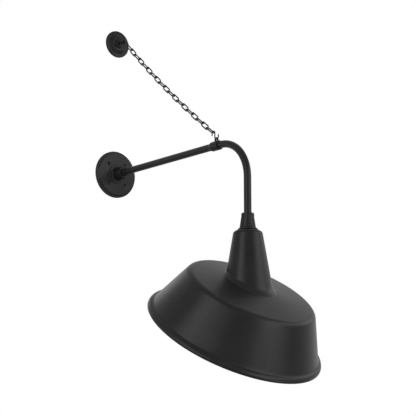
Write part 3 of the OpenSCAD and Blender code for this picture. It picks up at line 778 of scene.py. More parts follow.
@dataclass
class WallFlange:
    """The cast flange on the wall, with its hub and the lock ring on the arm."""

    radius: float = 76.2
    edge: float = 7.0
    rim: float = 5.0
    face: float = 12.0
    slope: float = 3.0
    boss_r: float = 30.5
    boss_top: float = 15.0
    hub_r: float = 20.5
    hub_end_r: float = 19.75
    hub_fillet: float = 6.0
    hub_bead: float = 49.0
    hub_reach: float = 55.0
    pipe_seat: float = 14.0
    screw_circle: float = 88.9
    hole_r: float = 3.25
    sink_r: float = 6.0
    ring_r: float = 14.0
    ring_len: float = 9.0
    screw_r: float = 2.5
    hub_draft: float = 0.6
    groove: float = 1.2
    groove_lead: float = 0.4
    sink_lip: float = 0.4
    sink_drop: float = 0.3

    def flange_mesh(self) -> Mesh:
        """Returns the turned flange with its four countersunk holes."""
        bore, seat = PLACE.pipe_bore, PLACE.seat
        rim_r, groove_r = self.radius - self.rim, self.hub_end_r - self.groove
        groove_low, groove_top = self.hub_bead - self.hub_draft, self.hub_bead + self.groove_lead
        outline = rounded([
            Corner(bore, 0), Corner(self.radius, 0, 0.5), Corner(self.radius, self.edge, 1.5),
            Corner(rim_r, self.edge, 0.7), Corner(rim_r - self.slope, self.face, 1.4),
            Corner(self.boss_r, self.face, 0.8),
            Corner(self.boss_r, self.boss_top, 1.4), Corner(self.hub_r, self.boss_top, self.hub_fillet),
            Corner(self.hub_r - self.hub_draft, groove_low - self.groove_lead, 0.8),
            Corner(groove_r, groove_low, 0.4), Corner(groove_r, groove_top, 0.4),
            Corner(self.hub_end_r, groove_top + self.groove_lead, 0.8),
            Corner(self.hub_end_r, self.hub_reach, 1.0), Corner(seat, self.hub_reach, 0.4),
            Corner(seat, self.pipe_seat), Corner(bore, self.pipe_seat)])
        sink = self.sink_r - self.hole_r
        wide = self.sink_r + self.sink_lip
        tool = [(0, -PAST), (self.hole_r, -PAST), (self.hole_r, self.face - sink - self.sink_drop),
                (wide, self.face + self.sink_lip), (wide, CUTTER), (0, CUTTER)]
        cuts = []
        for quarter in range(4):
            turn = Matrix.Rotation(math.radians(45 + 90 * quarter), 4, "Z")
            shift = Matrix.Translation((self.screw_circle / 2 * MM, 0, 0))
            cuts.append(("DIFFERENCE", moved(lathe("sink", tool, 48, False), turn @ shift)))
        return moved(carved(lathe("flange", outline, 144), cuts), PLACE.on_wall())

    def ring_mesh(self) -> Mesh:
        """Returns the lock ring with the hole for its set screw."""
        seat = PLACE.seat
        outline = rounded([
            Corner(seat, 0, 0.3), Corner(self.ring_r, 0, 1.2), Corner(self.ring_r, self.ring_len, 1.2),
            Corner(seat, self.ring_len, 0.3)])
        middle = Matrix.Translation((0, 0, self.ring_len / 2 * MM))
        hole = moved(drill(self.screw_r + PLACE.fit_gap, CUTTER), middle @ ACROSS)
        ring = carved(lathe("ring", outline, 96), [("DIFFERENCE", hole)])
        return moved(ring, PLACE.on_wall(self.hub_reach))

    def build(self) -> None:
        """Adds the flange and the lock ring."""
        add_black("flange_cast", self.flange_mesh(), Body.ARM, "wall_flange", 35)
        add_black("lock_ring_turned", self.ring_mesh(), Body.ARM, "lock_ring")


@dataclass
class Pipework:
    """The straight arm and the gooseneck, both of half-inch pipe."""

    arm_start: float = 14.0
    stop: float = 1.0
    arm_steps: int = 8
    bend_steps: int = 40

    def build(self) -> None:
        """Sweeps both pipes."""
        joint = PLACE.collar_mid
        length = joint - self.stop - self.arm_start
        arm = [(0.0, -self.arm_start - length * t / self.arm_steps, 0.0) for t in range(self.arm_steps + 1)]
        bend_from = PLACE.arm_reach - PLACE.bend_r
        turns = [math.pi / 2 * k / self.bend_steps for k in range(self.bend_steps + 1)]
        turn = [(0.0, -bend_from - PLACE.bend_r * math.sin(a), PLACE.bend_r * math.cos(a) - PLACE.bend_r)
                for a in turns]
        neck = [(0.0, -joint - self.stop, 0.0)] + turn + [(0.0, -PLACE.arm_reach, PLACE.stem_end)]
        for name, path, node in (("arm_pipe_drawn", arm, "arm_pipe"),
                                 ("gooseneck_bent", neck, "gooseneck_pipe")):
            mesh = pipe_along(name, path, PLACE.pipe_r, PLACE.pipe_wall, BLACK_COAT)
            add_black(name, mesh, Body.ARM, node)


@dataclass
class Collar:
    """The sleeve that joins the two pipes and carries the lug for the chain."""

    radius: float = 14.0
    taper: float = 7.0
    lug_t: float = 5.0
    lug_w: float = 13.0
    lug_soft: float = 0.7
    lug_sunk: float = 3.0
    lug_toe: float = 1.2
    lug_toe_h: float = 3.5
    lug_h: float = 16.0
    hole_r: float = 3.3
    hole_flare: float = 0.5
    hole_flare_h: float = 0.6
    end_wall: float = 1.2
    screw_r: float = 2.5
    screws: Pair = (498.5, 516.5)

    def build(self) -> None:
        """Adds the collar with its lug and the holes of its set screws."""
        seat, length = PLACE.seat, PLACE.collar_len
        start = PLACE.collar_reach - length
        outline = rounded([
            Corner(seat, 0), Corner(PLACE.pipe_r + self.end_wall, 0, 0.4),
            Corner(self.radius, self.taper, 2.0), Corner(self.radius, length, 1.0),
            Corner(seat, length, 0.2)])
        sleeve = moved(lathe("collar", outline, 96), PLACE.on_wall(start))
        bore = moved(drill(seat, length + 2 * PAST, 96), PLACE.on_wall(start - PAST))
        tools = [("UNION", self.lug_mesh()), ("DIFFERENCE", bore), ("DIFFERENCE", self.eye_cutter())]
        for y in self.screws:
            place = Matrix.Translation((0, -y * MM, 0)) @ ACROSS
            tools.append(("DIFFERENCE", moved(drill(self.screw_r + PLACE.fit_gap, CUTTER), place)))
        add_black("collar_cast", carved(sleeve, tools), Body.ARM, "chain_collar", 35)

    def lug_mesh(self) -> Mesh:
        """Returns the lug: a plate with a round top, softened at its rim."""
        half, soft = self.lug_w / 2, self.lug_soft
        foot = self.radius - self.lug_sunk
        toe, toe_top = half + self.lug_toe, foot + self.lug_toe_h
        outline = [(-toe, foot), (-half, toe_top)]
        outline += arc((0, PLACE.lug_z), half, 180, 0, 24) + [(half, toe_top), (toe, foot)]
        rows = []
        face = self.lug_t / 2
        for depth, inset in ((-face, soft), (soft - face, 0.0), (face - soft, 0.0), (face, soft)):
            across, up = 1 - inset / half, 1 - inset / self.lug_h
            rows += [(x * across, PLACE.lug_y + depth, foot + (z - foot) * up) for x, z in outline]
        count = len(outline)
        faces = grid_faces(4, count, False, True)
        faces += [list(range(count)), list(range(3 * count, 4 * count))]
        return mesh_from("lug", rows, faces)

    def eye_cutter(self) -> Mesh:
        """Returns the bar that cuts the lug's hole, a little wider at both faces."""
        face, wide = self.lug_t / 2, self.hole_r + self.hole_flare
        end, straight = face + 2 * PAST, face - self.hole_flare_h
        flare = [(0, -end), (wide, -end), (wide, -face), (self.hole_r, -straight),
                 (self.hole_r, straight), (wide, face), (wide, end), (0, end)]
        return moved(lathe("eye", flare, 48, False), PLACE.on_wall(-PLACE.lug_y, PLACE.lug_z))


@dataclass
class Anchor:
    """The eye plate on the wall above, with the eye bolt that holds it."""

    radius: float = 45.0
    rim: float = 6.0
    step_r: float = 31.0
    boss_r: float = 14.0
    boss_h: float = 19.0
    step_run: float = 2.2
    step_h: float = 1.6
    dome: float = 12.0
    dome_r: float = 24.0
    dome_foot: float = 27.0
    dome_soft: float = 1.6
    eye_r: float = 8.5
    wire_r: float = 3.0
    eye_sunk: float = 0.6
    bolt_r: float = 4.3
    head_r: float = 3.0
    head_drop: float = 2.2
    shoulder: tuple[Pair, ...] = ((0.0, 3.2), (1.1, 2.5), (2.2, 2.5), (2.7, 1.9), (2.7, 0.0), (0.0, 0.0))
    shank_r: float = 4.0
    plain: float = 18.0
    thread: float = 32.0
    thread_turns: int = 10
    thread_depth: float = 0.8
    thread_lead: float = 0.2
    thread_root: float = 0.45
    thread_crest: Pair = (0.8, 0.95)
    tip: float = 7.0

    def build(self) -> None:
        """Adds the plate and the eye bolt."""
        bore = self.bolt_r + PLACE.fit_gap
        plate = rounded([
            Corner(bore, 0), Corner(self.radius, 0, 0.4), Corner(self.radius, self.rim, 2.6),
            Corner(self.step_r + self.step_run, self.rim, 1.4),
            Corner(self.step_r, self.rim + self.step_h, 0.8),
            Corner(self.dome_foot, self.dome - self.dome_soft, 3.0), Corner(self.dome_r, self.dome, 3.0),
            Corner(self.boss_r, self.dome, 3.2), Corner(self.boss_r, self.boss_h, 2.2),
            Corner(bore, self.boss_h, 0.3)])
        mesh = moved(lathe("plate", plate, 120), PLACE.on_wall(0, PLACE.anchor_z))
        add_black("anchor_plate_cast", mesh, Body.ARM, "anchor_plate", 50)
        add_black("eye_bolt_forged", self.bolt_mesh(), Body.ARM, "anchor_eye", 45)

    def bolt_mesh(self) -> Mesh:
        """Returns the forged eye, its shoulder and shank, and the rolled thread behind the wall."""
        ring = [(*polar(self.eye_r, turn), 0.0) for turn in angles(64)]
        eye = moved(tube("eye", ring, self.wire_r, 28, True),
                    Matrix.Translation((0, (-PLACE.eye_reach + self.eye_r) * MM, PLACE.anchor_z * MM)))
        pitch, root = self.thread / self.thread_turns, self.shank_r - self.thread_depth
        neck = PLACE.eye_reach - 2 * self.eye_r + self.eye_sunk
        shank = [(0, neck), (self.head_r, neck), (self.bolt_r, neck - self.head_drop)]
        shank += [(self.bolt_r + out, self.boss_h + up) for out, up in self.shoulder]
        shank += [(self.bolt_r, 0), (self.shank_r, 0), (self.shank_r, -self.plain)]
        for i in range(self.thread_turns):
            top = -self.plain - i * pitch
            shank += [(root, top - self.thread_lead), (root, top - pitch * self.thread_root)]
            shank += [(self.shank_r, top - pitch * share) for share in self.thread_crest]
        shank += [(root, -self.plain - self.thread), (0, -self.plain - self.thread - self.tip)]
        bar = moved(lathe("shank", shank, 48, False), PLACE.on_wall(0, PLACE.anchor_z))
        return carved(bar, [("UNION", eye)])


# Chain


@dataclass
class Chain:
    """Welded links that hang in a shallow bow from the eye to the S-hook."""

    links: int = 20
    wire: float = 4.0
    inner_len: float = 30.7
    inner_w: float = 8.6
    bend_share: float = 0.499
    bend_points: int = 14
    wire_sides: int = 16
    play: float = 0.3
    sag: float = 10.0
    eye_wire: float = 6.0
    hook_wire: float = 3.5
    hook_upper: Pair = (-497.8, 40.2)
    hook_upper_r: float = 6.2
    hook_lower: Pair = (-512.0, 27.7)
    hook_lower_r: float = 8.0
    hook_turn: float = 200.0
    hook_tip: float = 6.0
    hook_tip_steps: int = 4
    hook_end: float = 1.5

    def line(self) -> tuple[Vector, Vector, Vector]:
        """Returns the chain's first point, its run to its last point and the way it sags."""
        arc_len = self.links * (self.inner_len - self.play)
        chord = arc_len - 8 / 3 * self.sag ** 2 / arc_len
        start = Vector((0, -PLACE.eye_reach, PLACE.anchor_z))
        end = Vector((0, self.hook_upper[0], self.hook_upper[1]))
        way = (end - start).normalized()
        down = Vector((0, -way.z, way.y))
        first = start - way * (self.eye_wire + self.play) / 2
        return first, way * chord, down * -1 if down.z > 0 else down

    def chain_mesh(self) -> Mesh:
        """Runs the tree that sets a link at each step of the bow, every second one turned."""
        first, run, down = self.line()
        seed = bpy.data.meshes.new("chain_seed")
        seed.from_pydata([(0, 0, 0)], [], [])
        tree = GeometryTree("chain_links_welded", seed)
        count = tree.value("Links", "Int", self.links)
        wire_r = tree.value("Wire radius", "Float", self.wire / 2 * MM)
        long = tree.value("Link length", "Float", (self.inner_len + self.wire) * MM)
        wide = tree.value("Link width", "Float", (self.inner_w + self.wire) * MM)
        start = tree.value("Start", "Vector", first * MM)
        chord = tree.value("Run", "Vector", run * MM)
        sag = tree.value("Sag", "Vector", down * self.sag * MM)
        box = tree.add("GeometryNodeCurvePrimitiveQuadrilateral", {"Width": wide, "Height": long},
                       mode="RECTANGLE")
        bend = tree.math("MULTIPLY", wide, self.bend_share)
        link = tree.add("GeometryNodeFilletCurve", {
            "Curve": box.outputs[0], "Count": self.bend_points, "Radius": bend}, mode="POLY")
        wire = tree.swept(link, tree.circle(self.wire_sides, wire_r))
        row = tree.add("GeometryNodePoints", {"Count": count})
        number = tree.add("GeometryNodeInputIndex").outputs[0]
        ahead = tree.math("ADD", number, 1.0)
        here, there = (self._bow(tree, n, count, start, chord, sag) for n in (number, ahead))
        middle = tree.scaled(tree.added(here, there), 0.5)
        way = tree.add("ShaderNodeVectorMath", {0: there, 1: here}, operation="SUBTRACT").outputs["Vector"]
        placed = tree.add("GeometryNodeSetPosition", {"Geometry": row.outputs[0], "Position": middle})
        along = tree.add("FunctionNodeAlignRotationToVector", {"Vector": way}, axis="Y", pivot_axis="X")
        odd = tree.math("MODULO", number, 2.0)
        quarter = tree.math("MULTIPLY", tree.math("SUBTRACT", 1.0, odd), math.pi / 2)
        roll = tree.add("FunctionNodeAxisAngleToRotation", {"Axis": (0, 1, 0), "Angle": quarter})
        turned = tree.add("FunctionNodeRotateRotation", {0: along.outputs[0], 1: roll.outputs[0]},
                          rotation_space="LOCAL")
        rows = tree.add("GeometryNodeInstanceOnPoints", {
            "Points": placed.outputs[0], "Instance": wire.outputs[0], "Rotation": turned.outputs[0]})
        return tree.run(rows.outputs[0], BLACK_DIP)

    def _bow(self, tree: GeometryTree, number: object, count: NodeSocket, start: NodeSocket,
             chord: NodeSocket, sag: NodeSocket) -> NodeSocket:
        """Adds the bow's point at a link's number.

        Args:
            tree: The chain's tree.
            number: How many links lie before the point.
            count: How many links there are.
            start: The chain's first point.
            chord: The run from its first point to its last.
            sag: How far, and which way, its middle hangs.

        Returns:
            The point.
        """
        share = tree.math("DIVIDE", number, count)
        dip = tree.math("MULTIPLY", tree.math("MULTIPLY", share, tree.math("SUBTRACT", 1.0, share)), 4.0)
        return tree.added(tree.added(start, tree.scaled(chord, share)), tree.scaled(sag, dip))

    def hook_mesh(self) -> Mesh:
        """Returns the S-hook, open a little at both ends."""
        upper, lower = self.hook_upper, self.hook_lower
        top = [(0.0, y, z) for y, z in arc(upper, self.hook_upper_r, 0, 180, 30)]
        tip = [(0.0, top[0][1], upper[1] - self.hook_tip + self.hook_tip * i / self.hook_tip_steps)
               for i in range(self.hook_tip_steps)]
        foot = [(0.0, y, z) for y, z in arc(lower, self.hook_lower_r, 0, -self.hook_turn, 36)]
        way = (Vector(foot[-1]) - Vector(foot[-2])).normalized()
        end = [tuple(Vector(foot[-1]) + way * self.hook_end * i / 2) for i in (1, 2)]
        return tube("hook", tip + top + foot + end, self.hook_wire / 2, 24)

    def build(self) -> None:
        """Adds the chain and the hook."""
        names = [f"chain_link_{n:02d}" for n in range(1, self.links + 1)]
        add_piece("chain_links_welded", self.chain_mesh(), BLACK_DIP, Body.CHAIN, Slot.BLACK, names, 60)
        add_piece("s_hook_bent", self.hook_mesh(), BLACK_DIP, Body.CHAIN, Slot.BLACK, ["s_hook"], 60)


# Lamp head


@dataclass
class Holder:
    """The cast holder that turns on the gooseneck, and the flat ring under it."""

    top_r: float = 17.6
    foot_r: float = 24.0
    height: float = 44.3
    skirt: float = 4.0
    side_from: float = 2.6
    side_short: float = 1.2
    side_steps: int = 72
    lip: tuple[Pair, ...] = ((0.7, 0.0), (1.0, 0.3), (1.0, 1.4))
    crown: tuple[Pair, ...] = ((-0.3, -0.4), (-1.0, 0.0))
    web: float = 10.0
    flutes: int = 6
    flute_turn: float = 15.0
    flute_w: float = 13.0
    flute_top: float = 38.3
    flute_depth: float = 1.2
    flute_skin: float = 0.6
    flute_clear: float = 1.0
    edge: float = 0.9
    ring_r: float = 28.5
    ring_t: float = 4.9
    ring_gap: float = 2.2
    ring_undercut: float = 5.0
    screw_r: float = 2.55
    screw_drop: float = 10.0
    screw_len: float = 30.0

    def side_r(self, z: float) -> float:
        """Returns the radius of the tapered side at a height above the holder's foot."""
        return self.foot_r + (self.top_r - self.foot_r) * z / self.height

    def sunk(self, turn: float, r: float, z: float) -> float:
        """Sinks the arched panels into the holder's side.

        Args:
            turn: The angle round the holder, in radians.
            r: The radius there.
            z: The height above the holder's foot.

        Returns:
            The radius with the panel's depth taken off.
        """
        low, high = self.skirt - self.flute_clear, self.flute_top + self.flute_clear
        if r < self.side_r(z) - self.flute_skin or z < low or z > high:
            return r
        step = math.tau / self.flutes
        off = (turn - math.radians(self.flute_turn) + step / 2) % step - step / 2
        across, half = abs(r * math.sin(off)), self.flute_w / 2
        arch = self.flute_top - half
        gap = half - (across if z < arch else math.hypot(across, z - arch))
        gap = min(gap, z - self.skirt)
        share = min(1.0, max(0.0, gap / self.edge + 0.5))
        return r - self.flute_depth * share * share * (3 - 2 * share)

    def holder_mesh(self) -> Mesh:
        """Returns the tapered holder with its panels, its bore and its screw hole."""
        seat, bore, nipple = PLACE.seat, PLACE.pipe_bore, PLACE.nipple_r
        seat_z = PLACE.stem_end - PLACE.holder_foot
        length = self.height - self.side_short - self.side_from
        heights = [self.side_from + length * i / self.side_steps for i in range(self.side_steps + 1)]
        outline = [(nipple, 0)] + [(self.foot_r + out, up) for out, up in self.lip]
        outline += [(self.side_r(z), z) for z in heights]
        outline += [(self.top_r + out, self.height + up) for out, up in self.crown]
        outline += [(seat, self.height), (seat, seat_z), (bore, seat_z),
                    (bore, seat_z - self.web), (nipple, seat_z - self.web)]
        mesh = lathe("holder", outline, 240, True, self.sunk)
        turn = math.radians(self.flute_turn + 180 / self.flutes)
        up = Matrix.Translation((0, 0, (self.height - self.screw_drop) * MM))
        place = Matrix.Rotation(turn, 4, "Z") @ up @ ACROSS
        hole = moved(drill(self.screw_r, self.screw_len), place)
        return moved(carved(mesh, [("DIFFERENCE", hole)]), PLACE.on_stem(PLACE.holder_foot))

    def ring_mesh(self) -> Mesh:
        """Returns the flat ring, cut back at its foot so that a dark joint shows above the neck."""
        foot_r = self.ring_r - self.ring_undercut
        outline = rounded([
            Corner(PLACE.nipple_r, 0), Corner(foot_r, 0), Corner(foot_r, self.ring_gap),
            Corner(self.ring_r, self.ring_gap, 0.6), Corner(self.ring_r, self.ring_t, 0.9),
            Corner(PLACE.nipple_r, self.ring_t)])
        return moved(lathe("ring", outline, 120), PLACE.on_stem(PLACE.neck_top))

    def build(self) -> None:
        """Adds the holder and its ring."""
        add_black("holder_cast", self.holder_mesh(), Body.LAMP_HEAD, "shade_holder", 50)
        add_black("holder_ring_turned", self.ring_mesh(), Body.LAMP_HEAD, "holder_ring")


@dataclass
class Shade:
    """The spun shade and the tapered neck that is seated on its top, both black outside and white inside."""

    rim_r: float = 255.0
    height: float = 140.5
    wall: float = 1.5
    lean: float = 25.4
    shoulder_r: float = 20.0
    rise: float = 6.5
    lip_r: float = 13.0
    lip_turn: float = 72.0
    hollow_r: float = 9.0
    bead_r: float = 2.5
    bead_turn: Pair = (66.0, 345.0)
    sides: int = 256
    top_steps: int = 12
    neck_r: float = 41.7
    neck_corner: float = 11.0
    neck_lean: float = 9.6
    flare: Pair = (6.5, 9.0)
    flare_h: Pair = (9.0, 20.0)
    flare_lift: float = 0.25
    flare_knee: float = 0.3
    neck_flat: float = 6.0
    lap_low: float = 0.5
    lap_in: float = 1.0
    lap_share: float = 0.12
    lap_up: float = 0.6

    def __post_init__(self) -> None:
        """Works out the sheet's own centres from its radii."""
        lean, turn = math.radians(self.lean), math.radians(self.lip_turn)
        self.lip_c = (self.rim_r - self.lip_r, self.bead_r)
        self.hollow_c = shifted(self.lip_c, polar(self.lip_r + self.hollow_r, turn))
        foot = shifted(self.hollow_c, polar(-self.hollow_r, lean))
        run = foot[0] * math.cos(lean) + foot[1] * math.sin(lean)
        level = self.height - self.shoulder_r
        self.shoulder_c = ((run - self.shoulder_r - level * math.sin(lean)) / math.cos(lean), level)
        self.shoulder_end = shifted(self.shoulder_c, polar(self.shoulder_r, math.radians(90 - self.rise)))
        self.top_mid = self.shoulder_end[1] + self.shoulder_end[0] * math.tan(math.radians(self.rise))

    def sheet(self, inset: float) -> list[Pair]:
        """Returns the sheet's curve from the rim to the shoulder's end, drawn in by a distance."""
        lip = arc(self.lip_c, self.lip_r - inset, 0, self.lip_turn, 14)
        hollow = arc(self.hollow_c, self.hollow_r + inset, self.lip_turn + 180, self.lean + 180, 8)
        shoulder = arc(self.shoulder_c, self.shoulder_r - inset, self.lean, 90 - self.rise, 16)
        side = [between(hollow[-1], shoulder[0], t / 10) for t in range(1, 10)]
        return lip + hollow[1:] + side + shoulder

    def neck_side(self, inset: float = 0.0) -> list[Pair]:
        """Returns the neck's curve from its top, as radius and depth, round its corner."""
        corner = (self.neck_r - self.neck_corner, -self.neck_corner)
        return arc(corner, self.neck_corner - inset, 90, self.neck_lean, 12)

    def top_height(self, x: float, y: float, drop: float = 0.0) -> float:
        """Finds where the shade's top lies under a point.

        Args:
            x: Distance to the right of the stem.
            y: Distance from the stem, towards the wall.
            drop: How far below the sheet's outer face.

        Returns:
            The height of that face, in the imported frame.
        """
        tilt, slope = PLACE.shade_tilt, math.tan(math.radians(self.rise))
        along = y - PLACE.arm_reach - PLACE.shade_y
        z = 0.0
        for _ in range(16):
            flat = along * math.cos(tilt) + z * math.sin(tilt)
            level = -math.hypot(x, flat) * slope - drop
            z = (level + along * math.sin(tilt)) / math.cos(tilt)
        return z + PLACE.shade_z

    def neck_foot(self, turn: float, inset: float, drop: float) -> Pair:
        """Finds where the neck's side meets the shade's top at an angle.

        Args:
            turn: The angle round the stem, in radians.
            inset: How far inside the neck's outer face.
            drop: How far below the shade's outer face.

        Returns:
            The radius from the stem and the height.
        """
        r0, z0 = self.neck_side(inset)[-1]
        z0 += PLACE.neck_top
        slope = math.tan(math.radians(self.neck_lean))
        low, high = z0 - 400, z0
        for _ in range(40):
            z = (low + high) / 2
            r = r0 + (z0 - z) * slope
            under = z < self.top_height(*polar(r, turn), drop)
            low, high = (z, high) if under else (low, z)
        return r0 + (z0 - high) * slope, high

    def shade_mesh(self) -> Mesh:
        """Returns the shade as one closed sheet with its rolled rim and the hole under the neck."""
        outer, inner = self.sheet(0.0), self.sheet(self.wall)
        bead_c = (self.rim_r - self.bead_r, self.bead_r)
        rows: list[list[Point]] = []
        middle = Matrix.Translation((0, -PLACE.shade_y, -PLACE.shade_z))
        back = Matrix.Rotation(-PLACE.shade_tilt, 4, "X") @ middle

        def ring(r: float, z: float) -> list[Point]:
            """Returns one turn of the sheet."""
            return [(*polar(r, turn), z - self.top_mid) for turn in angles(self.sides)]

        def hole(drop: float) -> list[Point]:
            """Returns the edge of the hole under the neck, at a depth in the sheet."""
            points = []
            for turn in angles(self.sides):
                r, z = self.neck_foot(turn, self.wall, drop)
                x, y = polar(r, turn)
                points.append(tuple(back @ Vector((x, y - PLACE.arm_reach, z))))
            return points

        rows += [ring(r, z) for r, z in outer]
        inwards = range(1, self.top_steps + 1)
        for drop, steps in ((0.0, inwards), (self.wall, reversed(inwards))):
            edge = hole(drop)
            rim = ring(*(self.shoulder_end if drop == 0 else inner[-1]))
            for k in steps:
                row = []
                for a, b in zip(rim, edge):
                    x, y = between(a, b, k / self.top_steps)
                    row.append((x, y, -math.hypot(x, y) * math.tan(math.radians(self.rise)) - drop))
                rows.append(row)
        rows += [ring(r, z) for r, z in reversed(inner[3:])]
        white = range(len(outer) + self.top_steps, len(rows))
        rows += [ring(r, z) for r, z in arc(bead_c, self.bead_r, *self.bead_turn, 18)]
        points = [p for row in rows for p in row]
        slots = [1 if i in white else 0 for i in range(len(rows)) for _ in range(self.sides)]
        mesh = mesh_from("shade", points, grid_faces(len(rows), self.sides, True, True), slots)
        return moved(self.two_sided(mesh), PLACE.in_shade())

    def two_sided(self, mesh: Mesh) -> Mesh:
        """Gives a sheet its black outside, then its white inside, and returns it."""
        mesh.materials.append(BLACK_COAT.material())
        mesh.materials.append(WHITE_ENAMEL.material())
        return mesh

    def neck_mesh(self) -> Mesh:
        """Returns the neck as one closed sheet, from the hole in its top to its flared foot."""
        count, steps = self.sides, 24
        columns = []
        flat_r = self.neck_r - self.neck_corner - self.neck_flat
        head = [(PLACE.nipple_r, PLACE.neck_top), (flat_r, PLACE.neck_top)]
        head += [(r, z + PLACE.neck_top) for r, z in self.neck_side()]
        under = [(r, z + PLACE.neck_top) for r, z in reversed(self.neck_side(self.wall))]
        under += [(PLACE.nipple_r, PLACE.neck_top - self.wall)]
        for turn in angles(count):
            outer = head + self.foot_curve(turn, head[-1], steps)
            at, edge_z = outer[-1]
            low_z = edge_z - self.flare_lift - self.wall * self.lap_low
            foot = self.neck_foot(turn, self.wall, self.wall)
            lap_z = foot[1] + (low_z - foot[1]) * self.lap_share + self.wall * self.lap_up
            side = [between(foot, under[0], i / steps) for i in range(steps)]
            column = outer + [(at, low_z), (foot[0] + self.lap_in, lap_z)] + side + under
            columns.append([(*shifted(polar(r, turn), (0.0, -PLACE.arm_reach)), z) for r, z in column])
        height = len(columns[0])
        white = range(height - steps - len(under), height - 1)
        points = [p for column in columns for p in column]
        slots = [1 if i in white else 0 for _ in range(count) for i in range(height)]
        return self.two_sided(mesh_from("neck", points, grid_faces(count, height, True, True), slots))

    def foot_curve(self, turn: float, head: Pair, steps: int) -> list[Pair]:
        """Draws the neck's side at an angle, down to the edge of its flare.

        The flare is short where the shade rises to the neck and long where the shade falls away.

        Args:
            turn: The angle round the stem, in radians.
            head: Where the side starts, as radius and height.
            steps: How many chords the straight part has.

        Returns:
            The side's points below its head.
        """
        low = 0.5 - 0.5 * math.sin(turn)
        flare = self.flare[0] + (self.flare[1] - self.flare[0]) * low
        flare_h = self.flare_h[0] + (self.flare_h[1] - self.flare_h[0]) * low
        foot = Vector(self.neck_foot(turn, 0.0, 0.0))
        top = Vector(head)
        up = (top - foot).normalized()
        at = foot.x + flare
        edge = Vector((at, self.top_height(*polar(at, turn)) + self.flare_lift))
        start, knee = foot + up * flare_h, foot + up * flare_h * self.flare_knee
        straight = [tuple(top + (start - top) * i / steps) for i in range(1, steps + 1)]
        return straight + bent(start, knee, edge)

    def build(self) -> None:
        """Adds the shade and the neck."""
        add_black("shade_spun", self.shade_mesh(), Body.LAMP_HEAD, "shade", 60)
        add_black("neck_spun", self.neck_mesh(), Body.LAMP_HEAD, "neck", 60)


